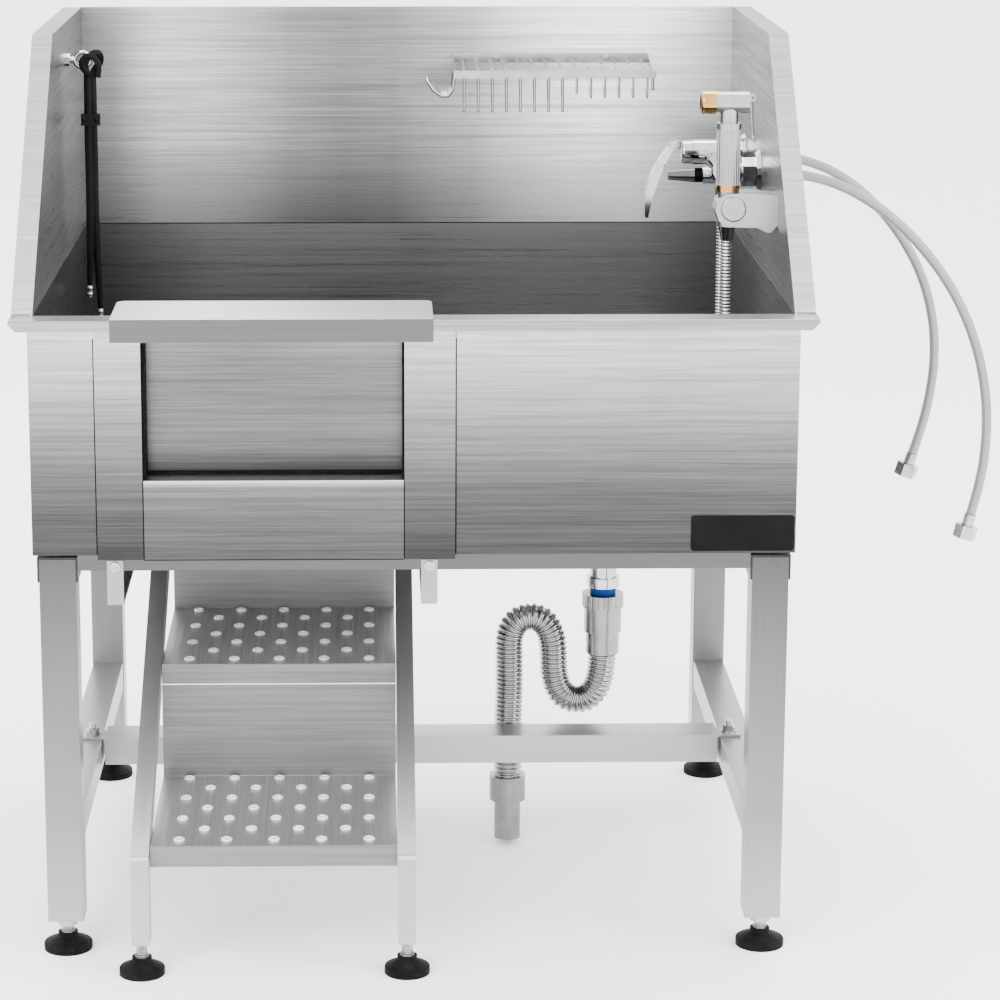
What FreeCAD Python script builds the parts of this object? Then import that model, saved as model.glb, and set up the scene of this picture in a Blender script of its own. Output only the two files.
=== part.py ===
import FreeCAD, Part
import math
import os

V = FreeCAD.Vector

# Frame: X runs left to right, Y runs front to back, Z is up and 0 is the floor.
# The origin is the middle of the whole object's footprint, with its ladder out.
# Every length is in millimetres.

# Tub and rim
SHEET = 2.0
RIM_WIDTH = 864.0
RIM_FRONT = -314.0
RIM_BACK = 372.0
RIM_TOP = 722.0
RIM_LIP = 12.0
BASIN_HALF = 409.0
BASIN_FRONT = RIM_FRONT + 33.0
BASIN_BACK = RIM_BACK - 10.0
BASIN_FLOOR = 478.0
BASIN_ROUND = 20.0
SKIN_HALF = 412.0
SKIN_FRONT = RIM_FRONT + 20.0
SKIN_BOTTOM = 460.0

# Door
FRAME_LEFT = -343.0
FRAME_RIGHT = 44.0
GAP_LEFT = -293.0
GAP_RIGHT = -11.0
FRAME_FRONT = RIM_FRONT + 15.0
FRAME_BOTTOM = 456.0
SILL_TOP = 544.0
SILL_BACK = FRAME_FRONT + 33.0
DOOR_THICK = 18.0
DOOR_FRONT = SILL_BACK + 1.5
CAP_LEFT = -323.5
CAP_RIGHT = 19.7
CAP_FRONT = RIM_FRONT - 8.0
CAP_DEPTH = 112.0
CAP_BOTTOM = 700.0
CAP_TOP = 725.0

# Splash walls
SPLASH_TOP = 996.0
SPLASH_KNEE = 0.0
FLANGE = 23.0

# Stand
LEG = 40.0
LEG_OUTER = 408.0
LEG_FRONT = RIM_FRONT + 23.0
LEG_REAR = 301.0
LEG_BOTTOM = 38.0
RAIL_TOP = 457.0
RAIL_TALL = 15.0
SOCKET_TALL = 28.0
PLATE = 2.0
LOWER_RAIL_WIDE = 38.0
LOWER_RAIL_TOP = 158.0
LOWER_RAIL_TALL = 34.0
CROSS_FRONT = RIM_FRONT + 300.0
CROSS_DEEP = 46.0
CROSS_TOP = 161.0
CROSS_HALF = 366.0

# Levelling feet
PAD_RADIUS = 27.0
LADDER_PAD_RADIUS = 25.0
STUD_RADIUS = 6.0
FIT = 0.06

# Ladder
STRINGER = 20.0
STRINGER_DEEP = 30.0
STRINGER_LEFT = -310.0
STRINGER_RIGHT = -19.0
TREAD_DEPTH = 235.0
STEP_RISE = 135.0
TREAD_FRONT = RIM_FRONT - 31.0
TREAD_Z = 146.0
TREAD_LIP = 24.0
LADDER_SIDE_GAP = 0.5
HOLE_RADIUS = 4.0
ROLLER_RADIUS = 15.75
CHANNEL_WIDE = 18.0
CHANNEL_BOTTOM = 404.0
CHANNEL_TOP = RAIL_TOP - RAIL_TALL - 1.0
CHANNEL_PLATE = 2.5

# Taps and handset, on the right splash wall
INLET_Y = (61.0, 211.0)
INLET_Z = 828.0
MIXER_X = 370.0
MIXER_RADIUS = 18.0
CARTRIDGE_Y = 136.0
CARTRIDGE_Z = 842.0
LEVER_Z = CARTRIDGE_Z + 9.0
SPOUT_Y = 100.0
SPOUT_Z = 819.0
HANDSET_X = 354.0
HANDSET_Y = -103.0
HOLDER_BOTTOM = 790.0
HOLDER_TOP = 829.0
HEAD_Z = 929.0

# Hoses
SUPPLY_DIAMETER = 12.0
SHOWER_DIAMETER = 12.0
DRAIN_DIAMETER = 34.0
NUT_BORE = 9.3
DRAIN_X = 232.0
DRAIN_Y = 60.0
TAIL_X = 118.0
TAIL_BOTTOM = 8.0
TAIL_TOP = 57.0
TAIL_RADIUS = 16.0
TAIL_BORE = 13.5

# Rack and lead
RACK_LEFT = 58.0
RACK_RIGHT = 306.0
RACK_Z = 925.0
RACK_DEEP = 90.0
WIRE = 4.0
RACK_SCREW_X = (112.0, 251.0)
BEAD_RADIUS = 4.2
LEAD_Y = 146.0
LEAD_X = -379.0
EYE_Z = 952.0
SLIDER_Z = 881.0

os.makedirs("parts", exist_ok=True)


# Shape helpers

def box(x0, x1, y0, y1, z0, z1):
    """Upright box between two opposite corners."""
    return Part.makeBox(x1 - x0, y1 - y0, z1 - z0, V(x0, y0, z0))


def mirrored(shape):
    """Copy of a shape on the other side of X = 0."""
    return shape.mirror(V(0, 0, 0), V(1, 0, 0))


def rod(start, end, radius):
    """Round bar from one point to another."""
    along = end - start
    return Part.makeCylinder(radius, along.Length, start, along)


def taper(start, end, radius_start, radius_end):
    """Round bar whose radius changes evenly from one end to the other."""
    along = end - start
    return Part.makeCone(radius_start, radius_end, along.Length, start, along)


def ring(start, end, radius, bore):
    """Round bar with a hole along it."""
    return rod(start, end, radius).cut(rod(start, end, bore))


def hexagon(start, end, across):
    """Hexagonal bar, measured across its flats."""
    along = end - start
    turn = FreeCAD.Rotation(V(0, 0, 1), along)
    radius = across / math.sqrt(3)
    corners = [turn.multVec(V(radius * math.cos(k * math.pi / 3), radius * math.sin(k * math.pi / 3), 0))
               for k in range(7)]
    return Part.Face(Part.makePolygon([start + corner for corner in corners])).extrude(along)


def prism(outline, axis, low, high):
    """Solid with a flat outline, pushed along X or Y. The outline's pairs are (Y, Z) or (X, Z)."""
    if axis == "x":
        points = [V(low, a, b) for a, b in outline]
        push = V(high - low, 0, 0)
    else:
        points = [V(a, low, b) for a, b in outline]
        push = V(0, high - low, 0)
    return Part.Face(Part.makePolygon(points + points[:1])).extrude(push)


def fused(shapes):
    """One solid from several that touch or overlap."""
    return shapes[0].multiFuse(shapes[1:]).removeSplitter()


def tube_box(x0, x1, y0, y1, z0, z1, wall, axis):
    """Box section, hollow along one axis."""
    gap = {"x": (0, wall, wall), "y": (wall, 0, wall), "z": (wall, wall, 0)}[axis]
    inside = box(x0 + gap[0], x1 - gap[0], y0 + gap[1], y1 - gap[1], z0 + gap[2], z1 - gap[2])
    return box(x0, x1, y0, y1, z0, z1).cut(inside)


def upright_edges(shape, test):
    """Edges along Z whose middle passes the test."""
    found = []
    for edge in shape.Edges:
        if len(edge.Vertexes) != 2:
            continue
        a, b = edge.Vertexes[0].Point, edge.Vertexes[1].Point
        if abs(a.x - b.x) < 0.01 and abs(a.y - b.y) < 0.01 and test((a + b) * 0.5):
            found.append(edge)
    return found


def cord_path(route, name):
    """Straight runs joined by tangent arcs, as one wire. It prints the smallest radius."""
    edges = []
    radii = []
    start = route[0]
    for before, corner, after in zip(route, route[1:], route[2:]):
        back = before - corner
        ahead = after - corner
        half_turn = (math.pi - back.getAngle(ahead)) / 2
        cut = 0.45 * min(back.Length, ahead.Length)
        radius = cut / math.tan(half_turn)
        back.normalize()
        ahead.normalize()
        inward = back + ahead
        inward.normalize()
        enter = corner + back * cut
        leave = corner + ahead * cut
        middle = corner + inward * (radius / math.cos(half_turn) - radius)
        edges.append(Part.LineSegment(start, enter).toShape())
        edges.append(Part.Arc(enter, middle, leave).toShape())
        radii.append(radius)
        start = leave
    edges.append(Part.LineSegment(start, route[-1]).toShape())
    wire = Part.Wire(edges)
    print(name, "radii", [round(r) for r in radii], "length", round(wire.Length))
    return wire


def cord_tube(route, diameter, name):
    """Round tube along a cord's route."""
    path = cord_path(route, name)
    section = Part.Wire([Part.Circle(route[0], route[1] - route[0], diameter / 2).toShape()])
    tube = path.makePipeShell([section], True, False)
    expected = math.pi * diameter ** 2 / 4 * path.Length
    print(name, "volume is", round(tube.Volume / expected, 4), "of section times length")
    return tube


def strap_tube(route, wide, thick, name):
    """Flat strap along a route that hangs down, with its width along X."""
    path = cord_path(route, name)
    at = route[0]
    corners = [V(at.x - wide / 2, at.y - thick / 2, at.z), V(at.x + wide / 2, at.y - thick / 2, at.z),
               V(at.x + wide / 2, at.y + thick / 2, at.z), V(at.x - wide / 2, at.y + thick / 2, at.z)]
    section = Part.makePolygon(corners + corners[:1])
    tube = path.makePipeShell([section], True, False)
    print(name, "volume is", round(tube.Volume / (wide * thick * path.Length), 4), "of section times length")
    return tube


def save(name, shape):
    """Write one sub-part and report anything wrong with it."""
    if not shape.isValid():
        print(name, "is not a valid shape")
    shape.exportStep("parts/" + name + ".step")
    print(name, len(shape.Solids), "solid, volume", round(shape.Volume / 1000), "cm3")


# Tub

def splash_bolt_places():
    """Points on the rim's top where the splash walls are bolted down."""
    side_x = BASIN_HALF + 13
    places = [(side * side_x, y) for side in (-1, 1) for y in (-255, -110, 40, 190, 335)]
    return places


def bolt_holes():
    """Clearance holes for the splash bolts."""
    return [rod(V(x, y, RIM_TOP - 20), V(x, y, RIM_TOP + 20), 2.6) for x, y in splash_bolt_places()]


def tub_basin():
    """Welded basin with its rim, a gap for the door and a hole for the drain."""
    half = BASIN_HALF + SHEET
    outer = box(-half, half, BASIN_FRONT - SHEET, BASIN_BACK + SHEET, BASIN_FLOOR - SHEET, RIM_TOP)
    inner = box(-BASIN_HALF, BASIN_HALF, BASIN_FRONT, BASIN_BACK, BASIN_FLOOR, RIM_TOP + 1)
    outer = outer.makeFillet(BASIN_ROUND + SHEET, low_edges(outer, BASIN_FLOOR - SHEET))
    inner = inner.makeFillet(BASIN_ROUND, low_edges(inner, BASIN_FLOOR))
    side = RIM_WIDTH / 2
    rim = box(-side, side, RIM_FRONT, RIM_BACK, RIM_TOP - RIM_LIP, RIM_TOP)
    corner = prism([(-side, RIM_TOP - RIM_LIP), (-side + 8, RIM_TOP - RIM_LIP), (-side, RIM_TOP - 4)],
                   "y", RIM_FRONT - 1, RIM_FRONT + 30)
    hollow = box(-side + SHEET, side - SHEET, RIM_FRONT + SHEET, RIM_BACK - SHEET,
                 RIM_TOP - RIM_LIP - 1, RIM_TOP - SHEET)
    rim = rim.cut(hollow).cut(corner).cut(mirrored(corner))
    door_gap = box(GAP_LEFT - SHEET, GAP_RIGHT + SHEET, RIM_FRONT - 1, BASIN_FRONT + 1,
                   SILL_TOP - SHEET, RIM_TOP + 1)
    drain_hole = rod(V(DRAIN_X, DRAIN_Y, BASIN_FLOOR - 30), V(DRAIN_X, DRAIN_Y, BASIN_FLOOR + 30), 34)
    basin = outer.fuse(rim).cut(inner)
    return basin.cut([door_gap, drain_hole] + bolt_holes())


def low_edges(shape, z):
    """Edges of a box that lie in its lowest face."""
    return [edge for edge in shape.Edges if all(abs(v.Point.z - z) < 0.01 for v in edge.Vertexes)]


def apron(left, right, outer_side):
    """Front skin with returns along its foot and at the tub's corner."""
    back = BASIN_FRONT - SHEET
    face = box(left, right, SKIN_FRONT, SKIN_FRONT + SHEET, SKIN_BOTTOM, RIM_TOP - SHEET)
    foot = box(left, right, SKIN_FRONT, back + 22, SKIN_BOTTOM, SKIN_BOTTOM + SHEET)
    low, high = sorted((outer_side, outer_side - math.copysign(SHEET, outer_side)))
    end = box(low, high, SKIN_FRONT, back + 22, SKIN_BOTTOM, RIM_TOP - SHEET)
    end = end.cut(box(-BASIN_HALF - SHEET, BASIN_HALF + SHEET, back, 400, SKIN_BOTTOM + 10, RIM_TOP))
    return fused([face, foot, end])


def front_aprons():
    """The two front skins, left and right of the door frame."""
    gap = 0.4
    left = apron(-SKIN_HALF - SHEET, FRAME_LEFT - gap, -SKIN_HALF - SHEET)
    right = apron(FRAME_RIGHT + gap, SKIN_HALF + SHEET, SKIN_HALF + SHEET)
    return Part.makeCompound([left, right])


def badge():
    """Plain plate stuck on the front skin."""
    plate = box(300, 412, SKIN_FRONT - 2, SKIN_FRONT, 463, 502)
    edges = [e for e in plate.Edges if abs(e.Vertexes[0].Point.y - e.Vertexes[1].Point.y) > 1]
    return plate.makeFillet(3, edges)


# Door frame and door

def door_post(left, right, jamb_left):
    """Folded post beside the gap: a face, a jamb into the basin and a return."""
    face = box(left, right, FRAME_FRONT, FRAME_FRONT + SHEET, FRAME_BOTTOM, RIM_TOP - SHEET)
    jamb = box(jamb_left, jamb_left + SHEET, FRAME_FRONT, SILL_BACK, SILL_TOP, RIM_TOP - SHEET)
    outer = left if abs(jamb_left - left) > 10 else right - SHEET
    back = box(outer, outer + SHEET, FRAME_FRONT, SKIN_FRONT, FRAME_BOTTOM, RIM_TOP - SHEET)
    return fused([face, jamb, back])


def door_posts():
    """The two posts of the door frame."""
    left = door_post(FRAME_LEFT, GAP_LEFT, GAP_LEFT - SHEET)
    right = door_post(GAP_RIGHT, FRAME_RIGHT, GAP_RIGHT)
    return Part.makeCompound([left, right])


def door_sill():
    """Front plate below the gap, with a ledge that turns down inside the basin."""
    left, right = GAP_LEFT + 0.3, GAP_RIGHT - 0.3
    face = box(left, right, FRAME_FRONT, FRAME_FRONT + SHEET, FRAME_BOTTOM, SILL_TOP)
    ledge = box(left, right, FRAME_FRONT, SILL_BACK, SILL_TOP - SHEET, SILL_TOP)
    hem = box(left, right, SILL_BACK - SHEET, SILL_BACK, SILL_TOP - 30, SILL_TOP)
    return fused([face, ledge, hem])


def door_guide(outer, inward):
    """Upright channel inside the basin that holds one edge of the door."""
    reach = 20.0 * inward
    front = BASIN_FRONT
    back = DOOR_FRONT + DOOR_THICK + 1.5
    web_low, web_high = sorted((outer, outer + SHEET * inward))
    arm_low, arm_high = sorted((outer, outer + reach))
    web = box(web_low, web_high, front, back + SHEET, SILL_TOP - 40, CAP_BOTTOM - 3)
    front_arm = box(arm_low, arm_high, front, front + SHEET, SILL_TOP - 40, CAP_BOTTOM - 3)
    back_arm = box(arm_low, arm_high, back, back + SHEET, SILL_TOP - 40, CAP_BOTTOM - 3)
    return fused([web, front_arm, back_arm])


def door_guides():
    """The left and right door channels."""
    return Part.makeCompound([door_guide(CAP_LEFT + 5, 1), door_guide(CAP_RIGHT - 5, -1)])


DOOR_LEFT = CAP_LEFT + 5 + SHEET + 1.5
DOOR_RIGHT = CAP_RIGHT - 5 - SHEET - 1.5
DOOR_BOTTOM = SILL_TOP - 20


def door_panel():
    """Outer skin of the door, folded back along its edges."""
    back = DOOR_FRONT + DOOR_THICK - SHEET
    face = box(DOOR_LEFT, DOOR_RIGHT, DOOR_FRONT, DOOR_FRONT + SHEET, DOOR_BOTTOM, CAP_TOP - 2.5)
    left = box(DOOR_LEFT, DOOR_LEFT + SHEET, DOOR_FRONT, back, DOOR_BOTTOM, CAP_TOP - 2.5)
    right = box(DOOR_RIGHT - SHEET, DOOR_RIGHT, DOOR_FRONT, back, DOOR_BOTTOM, CAP_TOP - 2.5)
    foot = box(DOOR_LEFT, DOOR_RIGHT, DOOR_FRONT, back, DOOR_BOTTOM, DOOR_BOTTOM + SHEET)
    return fused([face, left, right, foot])


def door_inner_panel():
    """Inner skin of the door, welded to the back of the outer one."""
    back = DOOR_FRONT + DOOR_THICK
    return box(DOOR_LEFT, DOOR_RIGHT, back - SHEET, back, DOOR_BOTTOM, CAP_TOP - 2.5)


def door_cap():
    """Saddle over the rim that carries the door and is its handle."""
    back = CAP_FRONT + CAP_DEPTH
    top = box(CAP_LEFT, CAP_RIGHT, CAP_FRONT, back, CAP_TOP - 2.5, CAP_TOP)
    top = top.makeFillet(10, upright_edges(top, lambda p: p.y > 0 or p.y > CAP_FRONT + 50))
    front = box(CAP_LEFT, CAP_RIGHT, CAP_FRONT, CAP_FRONT + SHEET, CAP_BOTTOM, CAP_TOP - 2)
    hem = box(CAP_LEFT + 10, CAP_RIGHT - 10, back - SHEET, back, CAP_BOTTOM, CAP_TOP - 2)
    left = box(CAP_LEFT, CAP_LEFT + SHEET, BASIN_FRONT + 3, back - 10, CAP_BOTTOM, CAP_TOP - 2)
    right = box(CAP_RIGHT - SHEET, CAP_RIGHT, BASIN_FRONT + 3, back - 10, CAP_BOTTOM, CAP_TOP - 2)
    return fused([top, front, hem, left, right])


# Splash walls

def side_splash():
    """Left wall: a sheet with flanges turned outwards along its foot, slope and top."""
    outer = -BASIN_HALF - SHEET
    wall_outline = [(BASIN_FRONT, RIM_TOP), (SPLASH_KNEE, SPLASH_TOP), (BASIN_BACK, SPLASH_TOP),
                    (BASIN_BACK, RIM_TOP)]
    wall = prism(wall_outline, "x", outer, -BASIN_HALF)
    slope = math.atan2(SPLASH_TOP - RIM_TOP, SPLASH_KNEE - BASIN_FRONT)
    step_y, step_z = SHEET * math.sin(slope), SHEET * math.cos(slope)
    slope_outline = [(BASIN_FRONT, RIM_TOP), (SPLASH_KNEE, SPLASH_TOP),
                     (SPLASH_KNEE + step_y, SPLASH_TOP - step_z), (BASIN_FRONT + step_y * 2, RIM_TOP)]
    slope_flange = prism(slope_outline, "x", -BASIN_HALF - FLANGE, outer)
    top_flange = box(-BASIN_HALF - FLANGE, outer, SPLASH_KNEE, BASIN_BACK, SPLASH_TOP - SHEET, SPLASH_TOP)
    foot_flange = box(-BASIN_HALF - FLANGE + 1, outer, BASIN_FRONT, BASIN_BACK, RIM_TOP, RIM_TOP + SHEET)
    return fused([wall, slope_flange, top_flange, foot_flange]).cut(bolt_holes())


def left_splash():
    """Left wall with the hole of the eye bolt."""
    hole = rod(V(-BASIN_HALF - 10, LEAD_Y, EYE_Z), V(-BASIN_HALF + 10, LEAD_Y, EYE_Z), 4.1)
    return side_splash().cut(hole)


def right_splash():
    """Right wall with the holes of the taps."""
    holes = [rod(V(BASIN_HALF - 10, y, INLET_Z), V(BASIN_HALF + 10, y, INLET_Z), 9.6) for y in INLET_Y]
    return mirrored(side_splash()).cut(holes)


def back_splash():
    """Back wall with flanges turned back along its foot and top."""
    half = BASIN_HALF + SHEET
    wall = box(-half, half, BASIN_BACK, BASIN_BACK + SHEET, RIM_TOP, SPLASH_TOP)
    top = box(-half, half, BASIN_BACK, RIM_BACK, SPLASH_TOP - SHEET, SPLASH_TOP)
    foot = box(-half, half, BASIN_BACK, RIM_BACK - 1, RIM_TOP, RIM_TOP + SHEET)
    holes = [rod(V(x, BASIN_BACK - 5, RACK_Z + 7), V(x, BASIN_BACK + 5, RACK_Z + 7), 2.1)
             for x in RACK_SCREW_X]
    return fused([wall, top, foot]).cut(holes)


# Stand

LEG_CORNERS = {
    "front_left": (-LEG_OUTER, LEG_FRONT),
    "front_right": (LEG_OUTER - LEG, LEG_FRONT),
    "rear_left": (-LEG_OUTER, LEG_REAR),
    "rear_right": (LEG_OUTER - LEG, LEG_REAR),
}


def legs():
    """Four square tubes, each closed at its foot by a plate with the stud's hole."""
    made = []
    for x, y in LEG_CORNERS.values():
        leg = tube_box(x, x + LEG, y, y + LEG, LEG_BOTTOM, RAIL_TOP - 2.5, PLATE, "z")
        plug = box(x + 1, x + LEG - 1, y + 1, y + LEG - 1, LEG_BOTTOM, LEG_BOTTOM + 8)
        hole = rod(V(x + LEG / 2, y + LEG / 2, 0), V(x + LEG / 2, y + LEG / 2, 90), STUD_RADIUS + FIT)
        made.append(leg.fuse(plug).removeSplitter().cut(hole))
    return Part.makeCompound(made)


def leg_sockets():
    """Plate stirrups that hold the tops of the legs."""
    made = []
    for x, y in LEG_CORNERS.values():
        top = box(x - PLATE, x + LEG + PLATE, y, y + LEG, RAIL_TOP - 2.5, RAIL_TOP)
        left = box(x - PLATE, x, y, y + LEG, RAIL_TOP - SOCKET_TALL, RAIL_TOP)
        right = box(x + LEG, x + LEG + PLATE, y, y + LEG, RAIL_TOP - SOCKET_TALL, RAIL_TOP)
        made.append(fused([top, left, right]))
    return Part.makeCompound(made)


def top_rails():
    """Front, rear and side rails that the tub's skins stand on, and two bearers under its floor."""
    low = RAIL_TOP - RAIL_TALL
    half = LEG_OUTER - LEG - PLATE
    top = SKIN_BOTTOM
    made = []
    for y in (LEG_FRONT + 12, LEG_REAR):
        under, over = SKIN_BOTTOM + SHEET, BASIN_FLOOR - SHEET
        made.append(tube_box(-360, 360, y, y + LEG - 12, under, over, PLATE, "x"))
    for y in (LEG_FRONT, LEG_REAR):
        made.append(tube_box(-half, half, y, y + LEG, low, top, PLATE, "x"))
    for x in (-LEG_OUTER, LEG_OUTER - LEG):
        made.append(tube_box(x, x + LEG, LEG_FRONT + LEG, LEG_REAR, low, top, PLATE, "y"))
    return Part.makeCompound(made)


def lower_side_rails():
    """Left and right rails between the front and rear legs."""
    inset = (LEG - LOWER_RAIL_WIDE) / 2
    rail = tube_box(-LEG_OUTER + inset, -LEG_OUTER + LEG - inset, LEG_FRONT + LEG, LEG_REAR,
                    LOWER_RAIL_TOP - LOWER_RAIL_TALL, LOWER_RAIL_TOP, PLATE, "y")
    hole = rod(V(-CROSS_HALF - 15, CROSS_FRONT + 14, 100), V(-CROSS_HALF - 15, CROSS_FRONT + 14, 200), 4.1)
    rail = rail.cut(hole)
    return Part.makeCompound([rail, mirrored(rail)])


def cross_rail():
    """Rail between the side rails, with a tab over each of them."""
    low = CROSS_TOP - LOWER_RAIL_TALL
    rail = tube_box(-CROSS_HALF, CROSS_HALF, CROSS_FRONT, CROSS_FRONT + CROSS_DEEP, low, CROSS_TOP,
                    PLATE, "x")
    plate = box(-CROSS_HALF - 28, CROSS_HALF + 28, CROSS_FRONT, CROSS_FRONT + 30,
                CROSS_TOP - 3, CROSS_TOP)
    holes = [rod(V(x, CROSS_FRONT + 14, 100), V(x, CROSS_FRONT + 14, 200), 4.1)
             for x in (-CROSS_HALF - 15, CROSS_HALF + 15)]
    return fused([rail, plate]).cut(holes)


def hex_bolts():
    """Splash bolts, the cross rail's upright bolts with their nuts, and the studs' locknuts."""
    made = []
    for x, y in splash_bolt_places():
        seat = RIM_TOP + SHEET
        head = hexagon(V(x, y, seat), V(x, y, seat + 3.5), 8)
        shank = rod(V(x, y, seat - 10), V(x, y, seat), 2.5)
        made.append(head.fuse(shank).removeSplitter())
    for x in (-CROSS_HALF - 15, CROSS_HALF + 15):
        y = CROSS_FRONT + 14
        washer = ring(V(x, y, CROSS_TOP), V(x, y, CROSS_TOP + 1.6), 9, 4.1)
        nut = hexagon(V(x, y, CROSS_TOP + 1.6), V(x, y, CROSS_TOP + 8), 13)
        shank = rod(V(x, y, LOWER_RAIL_TOP - 1), V(x, y, CROSS_TOP + 14), 4)
        nut = nut.cut(rod(V(x, y, 100), V(x, y, 300), 4.05))
        made.extend([washer, nut, shank])
    return Part.makeCompound(made + foot_locknuts())


def levelling_foot(x, y, radius, stud_top):
    """Pad with a coned neck, and its threaded stud."""
    pad = rod(V(x, y, 0), V(x, y, 8), radius)
    pad = pad.makeFillet(1.5, [pad.Edges[0]])
    cone = taper(V(x, y, 8), V(x, y, 15), radius - 3, 11)
    neck = rod(V(x, y, 15), V(x, y, 20), 11)
    rubber = fused([pad, cone, neck])
    stud = rod(V(x, y, 20), V(x, y, stud_top), STUD_RADIUS)
    flats = hexagon(V(x, y, 20), V(x, y, 23), 14)
    return Part.makeCompound([rubber, fused([stud, flats])])


def foot_locknuts():
    """Nuts that lock the four studs against the legs."""
    made = []
    for x, y in LEG_CORNERS.values():
        cx, cy = x + LEG / 2, y + LEG / 2
        nut = hexagon(V(cx, cy, LEG_BOTTOM - 10), V(cx, cy, LEG_BOTTOM), 19)
        made.append(nut.cut(rod(V(cx, cy, 0), V(cx, cy, 90), STUD_RADIUS + FIT)))
    return made


# Ladder

STRINGER_RISE = STEP_RISE / TREAD_DEPTH
LADDER_TOP_Y = TREAD_FRONT + 2 * TREAD_DEPTH + 26
ROLLER_Y = LADDER_TOP_Y - 12
ROLLER_Z = CHANNEL_BOTTOM + CHANNEL_PLATE + ROLLER_RADIUS + 0.25
LADDER_FOOT_Y = TREAD_FRONT - 2
INNER_LEFT = STRINGER_LEFT + STRINGER
INNER_RIGHT = STRINGER_RIGHT


def nosing_z(y):
    """Height of the line through the front edges of the treads."""
    return TREAD_Z + (y - TREAD_FRONT) * STRINGER_RISE


def stringer(left, outward):
    """Sloping tube that turns down into a short leg, with the roller's axle at its top."""
    drop = STRINGER_DEEP / math.cos(math.atan(STRINGER_RISE))
    leg_front = LADDER_FOOT_Y - 12
    leg_back = LADDER_FOOT_Y + 12
    outline = [(leg_front, LEG_BOTTOM - 2), (leg_front, nosing_z(leg_front)),
               (LADDER_TOP_Y, nosing_z(LADDER_TOP_Y)), (LADDER_TOP_Y, nosing_z(LADDER_TOP_Y) - drop),
               (leg_back, nosing_z(leg_back) - drop), (leg_back, LEG_BOTTOM - 2)]
    bar = prism(outline, "x", left, left + STRINGER)
    outer = left if outward < 0 else left + STRINGER
    axle = rod(V(outer - outward * 4, ROLLER_Y, ROLLER_Z), V(outer + outward * 21, ROLLER_Y, ROLLER_Z), 5)
    middle = left + STRINGER / 2
    hole = rod(V(middle, LADDER_FOOT_Y, 20), V(middle, LADDER_FOOT_Y, 100), STUD_RADIUS + FIT)
    return fused([bar, axle]).cut(hole)


def tread_holes(front, z):
    """Staggered rows of hole centres on one tread."""
    rows = 7
    pitch_y = (TREAD_DEPTH - 30) / (rows - 1)
    places = []
    for row in range(rows):
        count = 5 if row % 2 == 0 else 4
        pitch_x = 52.0
        y = front + 18 + row * pitch_y
        middle = (INNER_LEFT + INNER_RIGHT) / 2
        for k in range(count):
            places.append(V(middle + (k - (count - 1) / 2) * pitch_x, y, z))
    return places


def step(front, z, riser_top):
    """Folded sheet: a lip, a tread with raised holes, and the riser behind it."""
    left, right = INNER_LEFT + LADDER_SIDE_GAP, INNER_RIGHT - LADDER_SIDE_GAP
    back = front + TREAD_DEPTH
    tread = box(left, right, front, back, z - SHEET, z)
    lip = box(left, right, front, front + SHEET, z - TREAD_LIP, z)
    riser = box(left, right, back - SHEET, back, z - SHEET, riser_top) if riser_top else None
    ends = [box(x, x + SHEET, front, back, z - 18, z) for x in (left, right - SHEET)]
    centres = tread_holes(front, z)
    collars = [taper(c, c + V(0, 0, 1.5), HOLE_RADIUS + 2.2, HOLE_RADIUS + 1) for c in centres]
    holes = [rod(c - V(0, 0, 10), c + V(0, 0, 10), HOLE_RADIUS) for c in centres]
    body = fused([tread, lip] + ends + ([riser] if riser else []))
    return body.multiFuse(collars).cut(holes)


def lower_step():
    """First tread and the riser up to the second tread's lip."""
    return step(TREAD_FRONT, TREAD_Z, TREAD_Z + STEP_RISE - TREAD_LIP - 0.5)


def upper_step():
    """Second tread."""
    return step(TREAD_FRONT + TREAD_DEPTH, TREAD_Z + STEP_RISE, None)


def top_riser():
    """Panel from the second tread up to the top of the stringers."""
    left, right = INNER_LEFT + LADDER_SIDE_GAP, INNER_RIGHT - LADDER_SIDE_GAP
    y = TREAD_FRONT + 2 * TREAD_DEPTH
    low = TREAD_Z + STEP_RISE - 40
    high = nosing_z(y)
    panel = box(left, right, y, y + SHEET, low, high)
    lip = box(left, right, y, y + 18, high - SHEET, high)
    return fused([panel, lip])


def ladder_foot(left):
    """Levelling foot under one stringer."""
    return levelling_foot(left + STRINGER / 2, LADDER_FOOT_Y, LADDER_PAD_RADIUS, LEG_BOTTOM + 30)


def ladder_rollers():
    """Plastic rollers at the top of the ladder, one in each channel."""
    made = []
    for outer, outward in ((STRINGER_LEFT, -1), (STRINGER_RIGHT + STRINGER, 1)):
        near = V(outer + outward * 7.5, ROLLER_Y, ROLLER_Z)
        far = V(outer + outward * 19.5, ROLLER_Y, ROLLER_Z)
        made.append(ring(near, far, ROLLER_RADIUS, 5 + FIT))
    return Part.makeCompound(made)


def guide_channel(outer, inward):
    """Channel under the tub, hung by a tab from the front and rear rails."""
    def across(width):
        return sorted((outer, outer + width * inward))
    front, back = LEG_FRONT, LEG_REAR + LEG
    web_low, web_high = across(CHANNEL_PLATE)
    low, high = across(CHANNEL_WIDE)
    web = box(web_low, web_high, front, back, CHANNEL_BOTTOM, CHANNEL_TOP)
    floor = box(low, high, front, back, CHANNEL_BOTTOM, CHANNEL_BOTTOM + CHANNEL_PLATE)
    roof = box(low, high, front, back, CHANNEL_TOP - CHANNEL_PLATE, CHANNEL_TOP)
    front_tab = box(low, high, front - CHANNEL_PLATE, front, CHANNEL_BOTTOM, RAIL_TOP - 3)
    rear_tab = box(low, high, back, back + CHANNEL_PLATE, CHANNEL_BOTTOM, RAIL_TOP - 3)
    return fused([web, floor, roof, front_tab, rear_tab])


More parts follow.
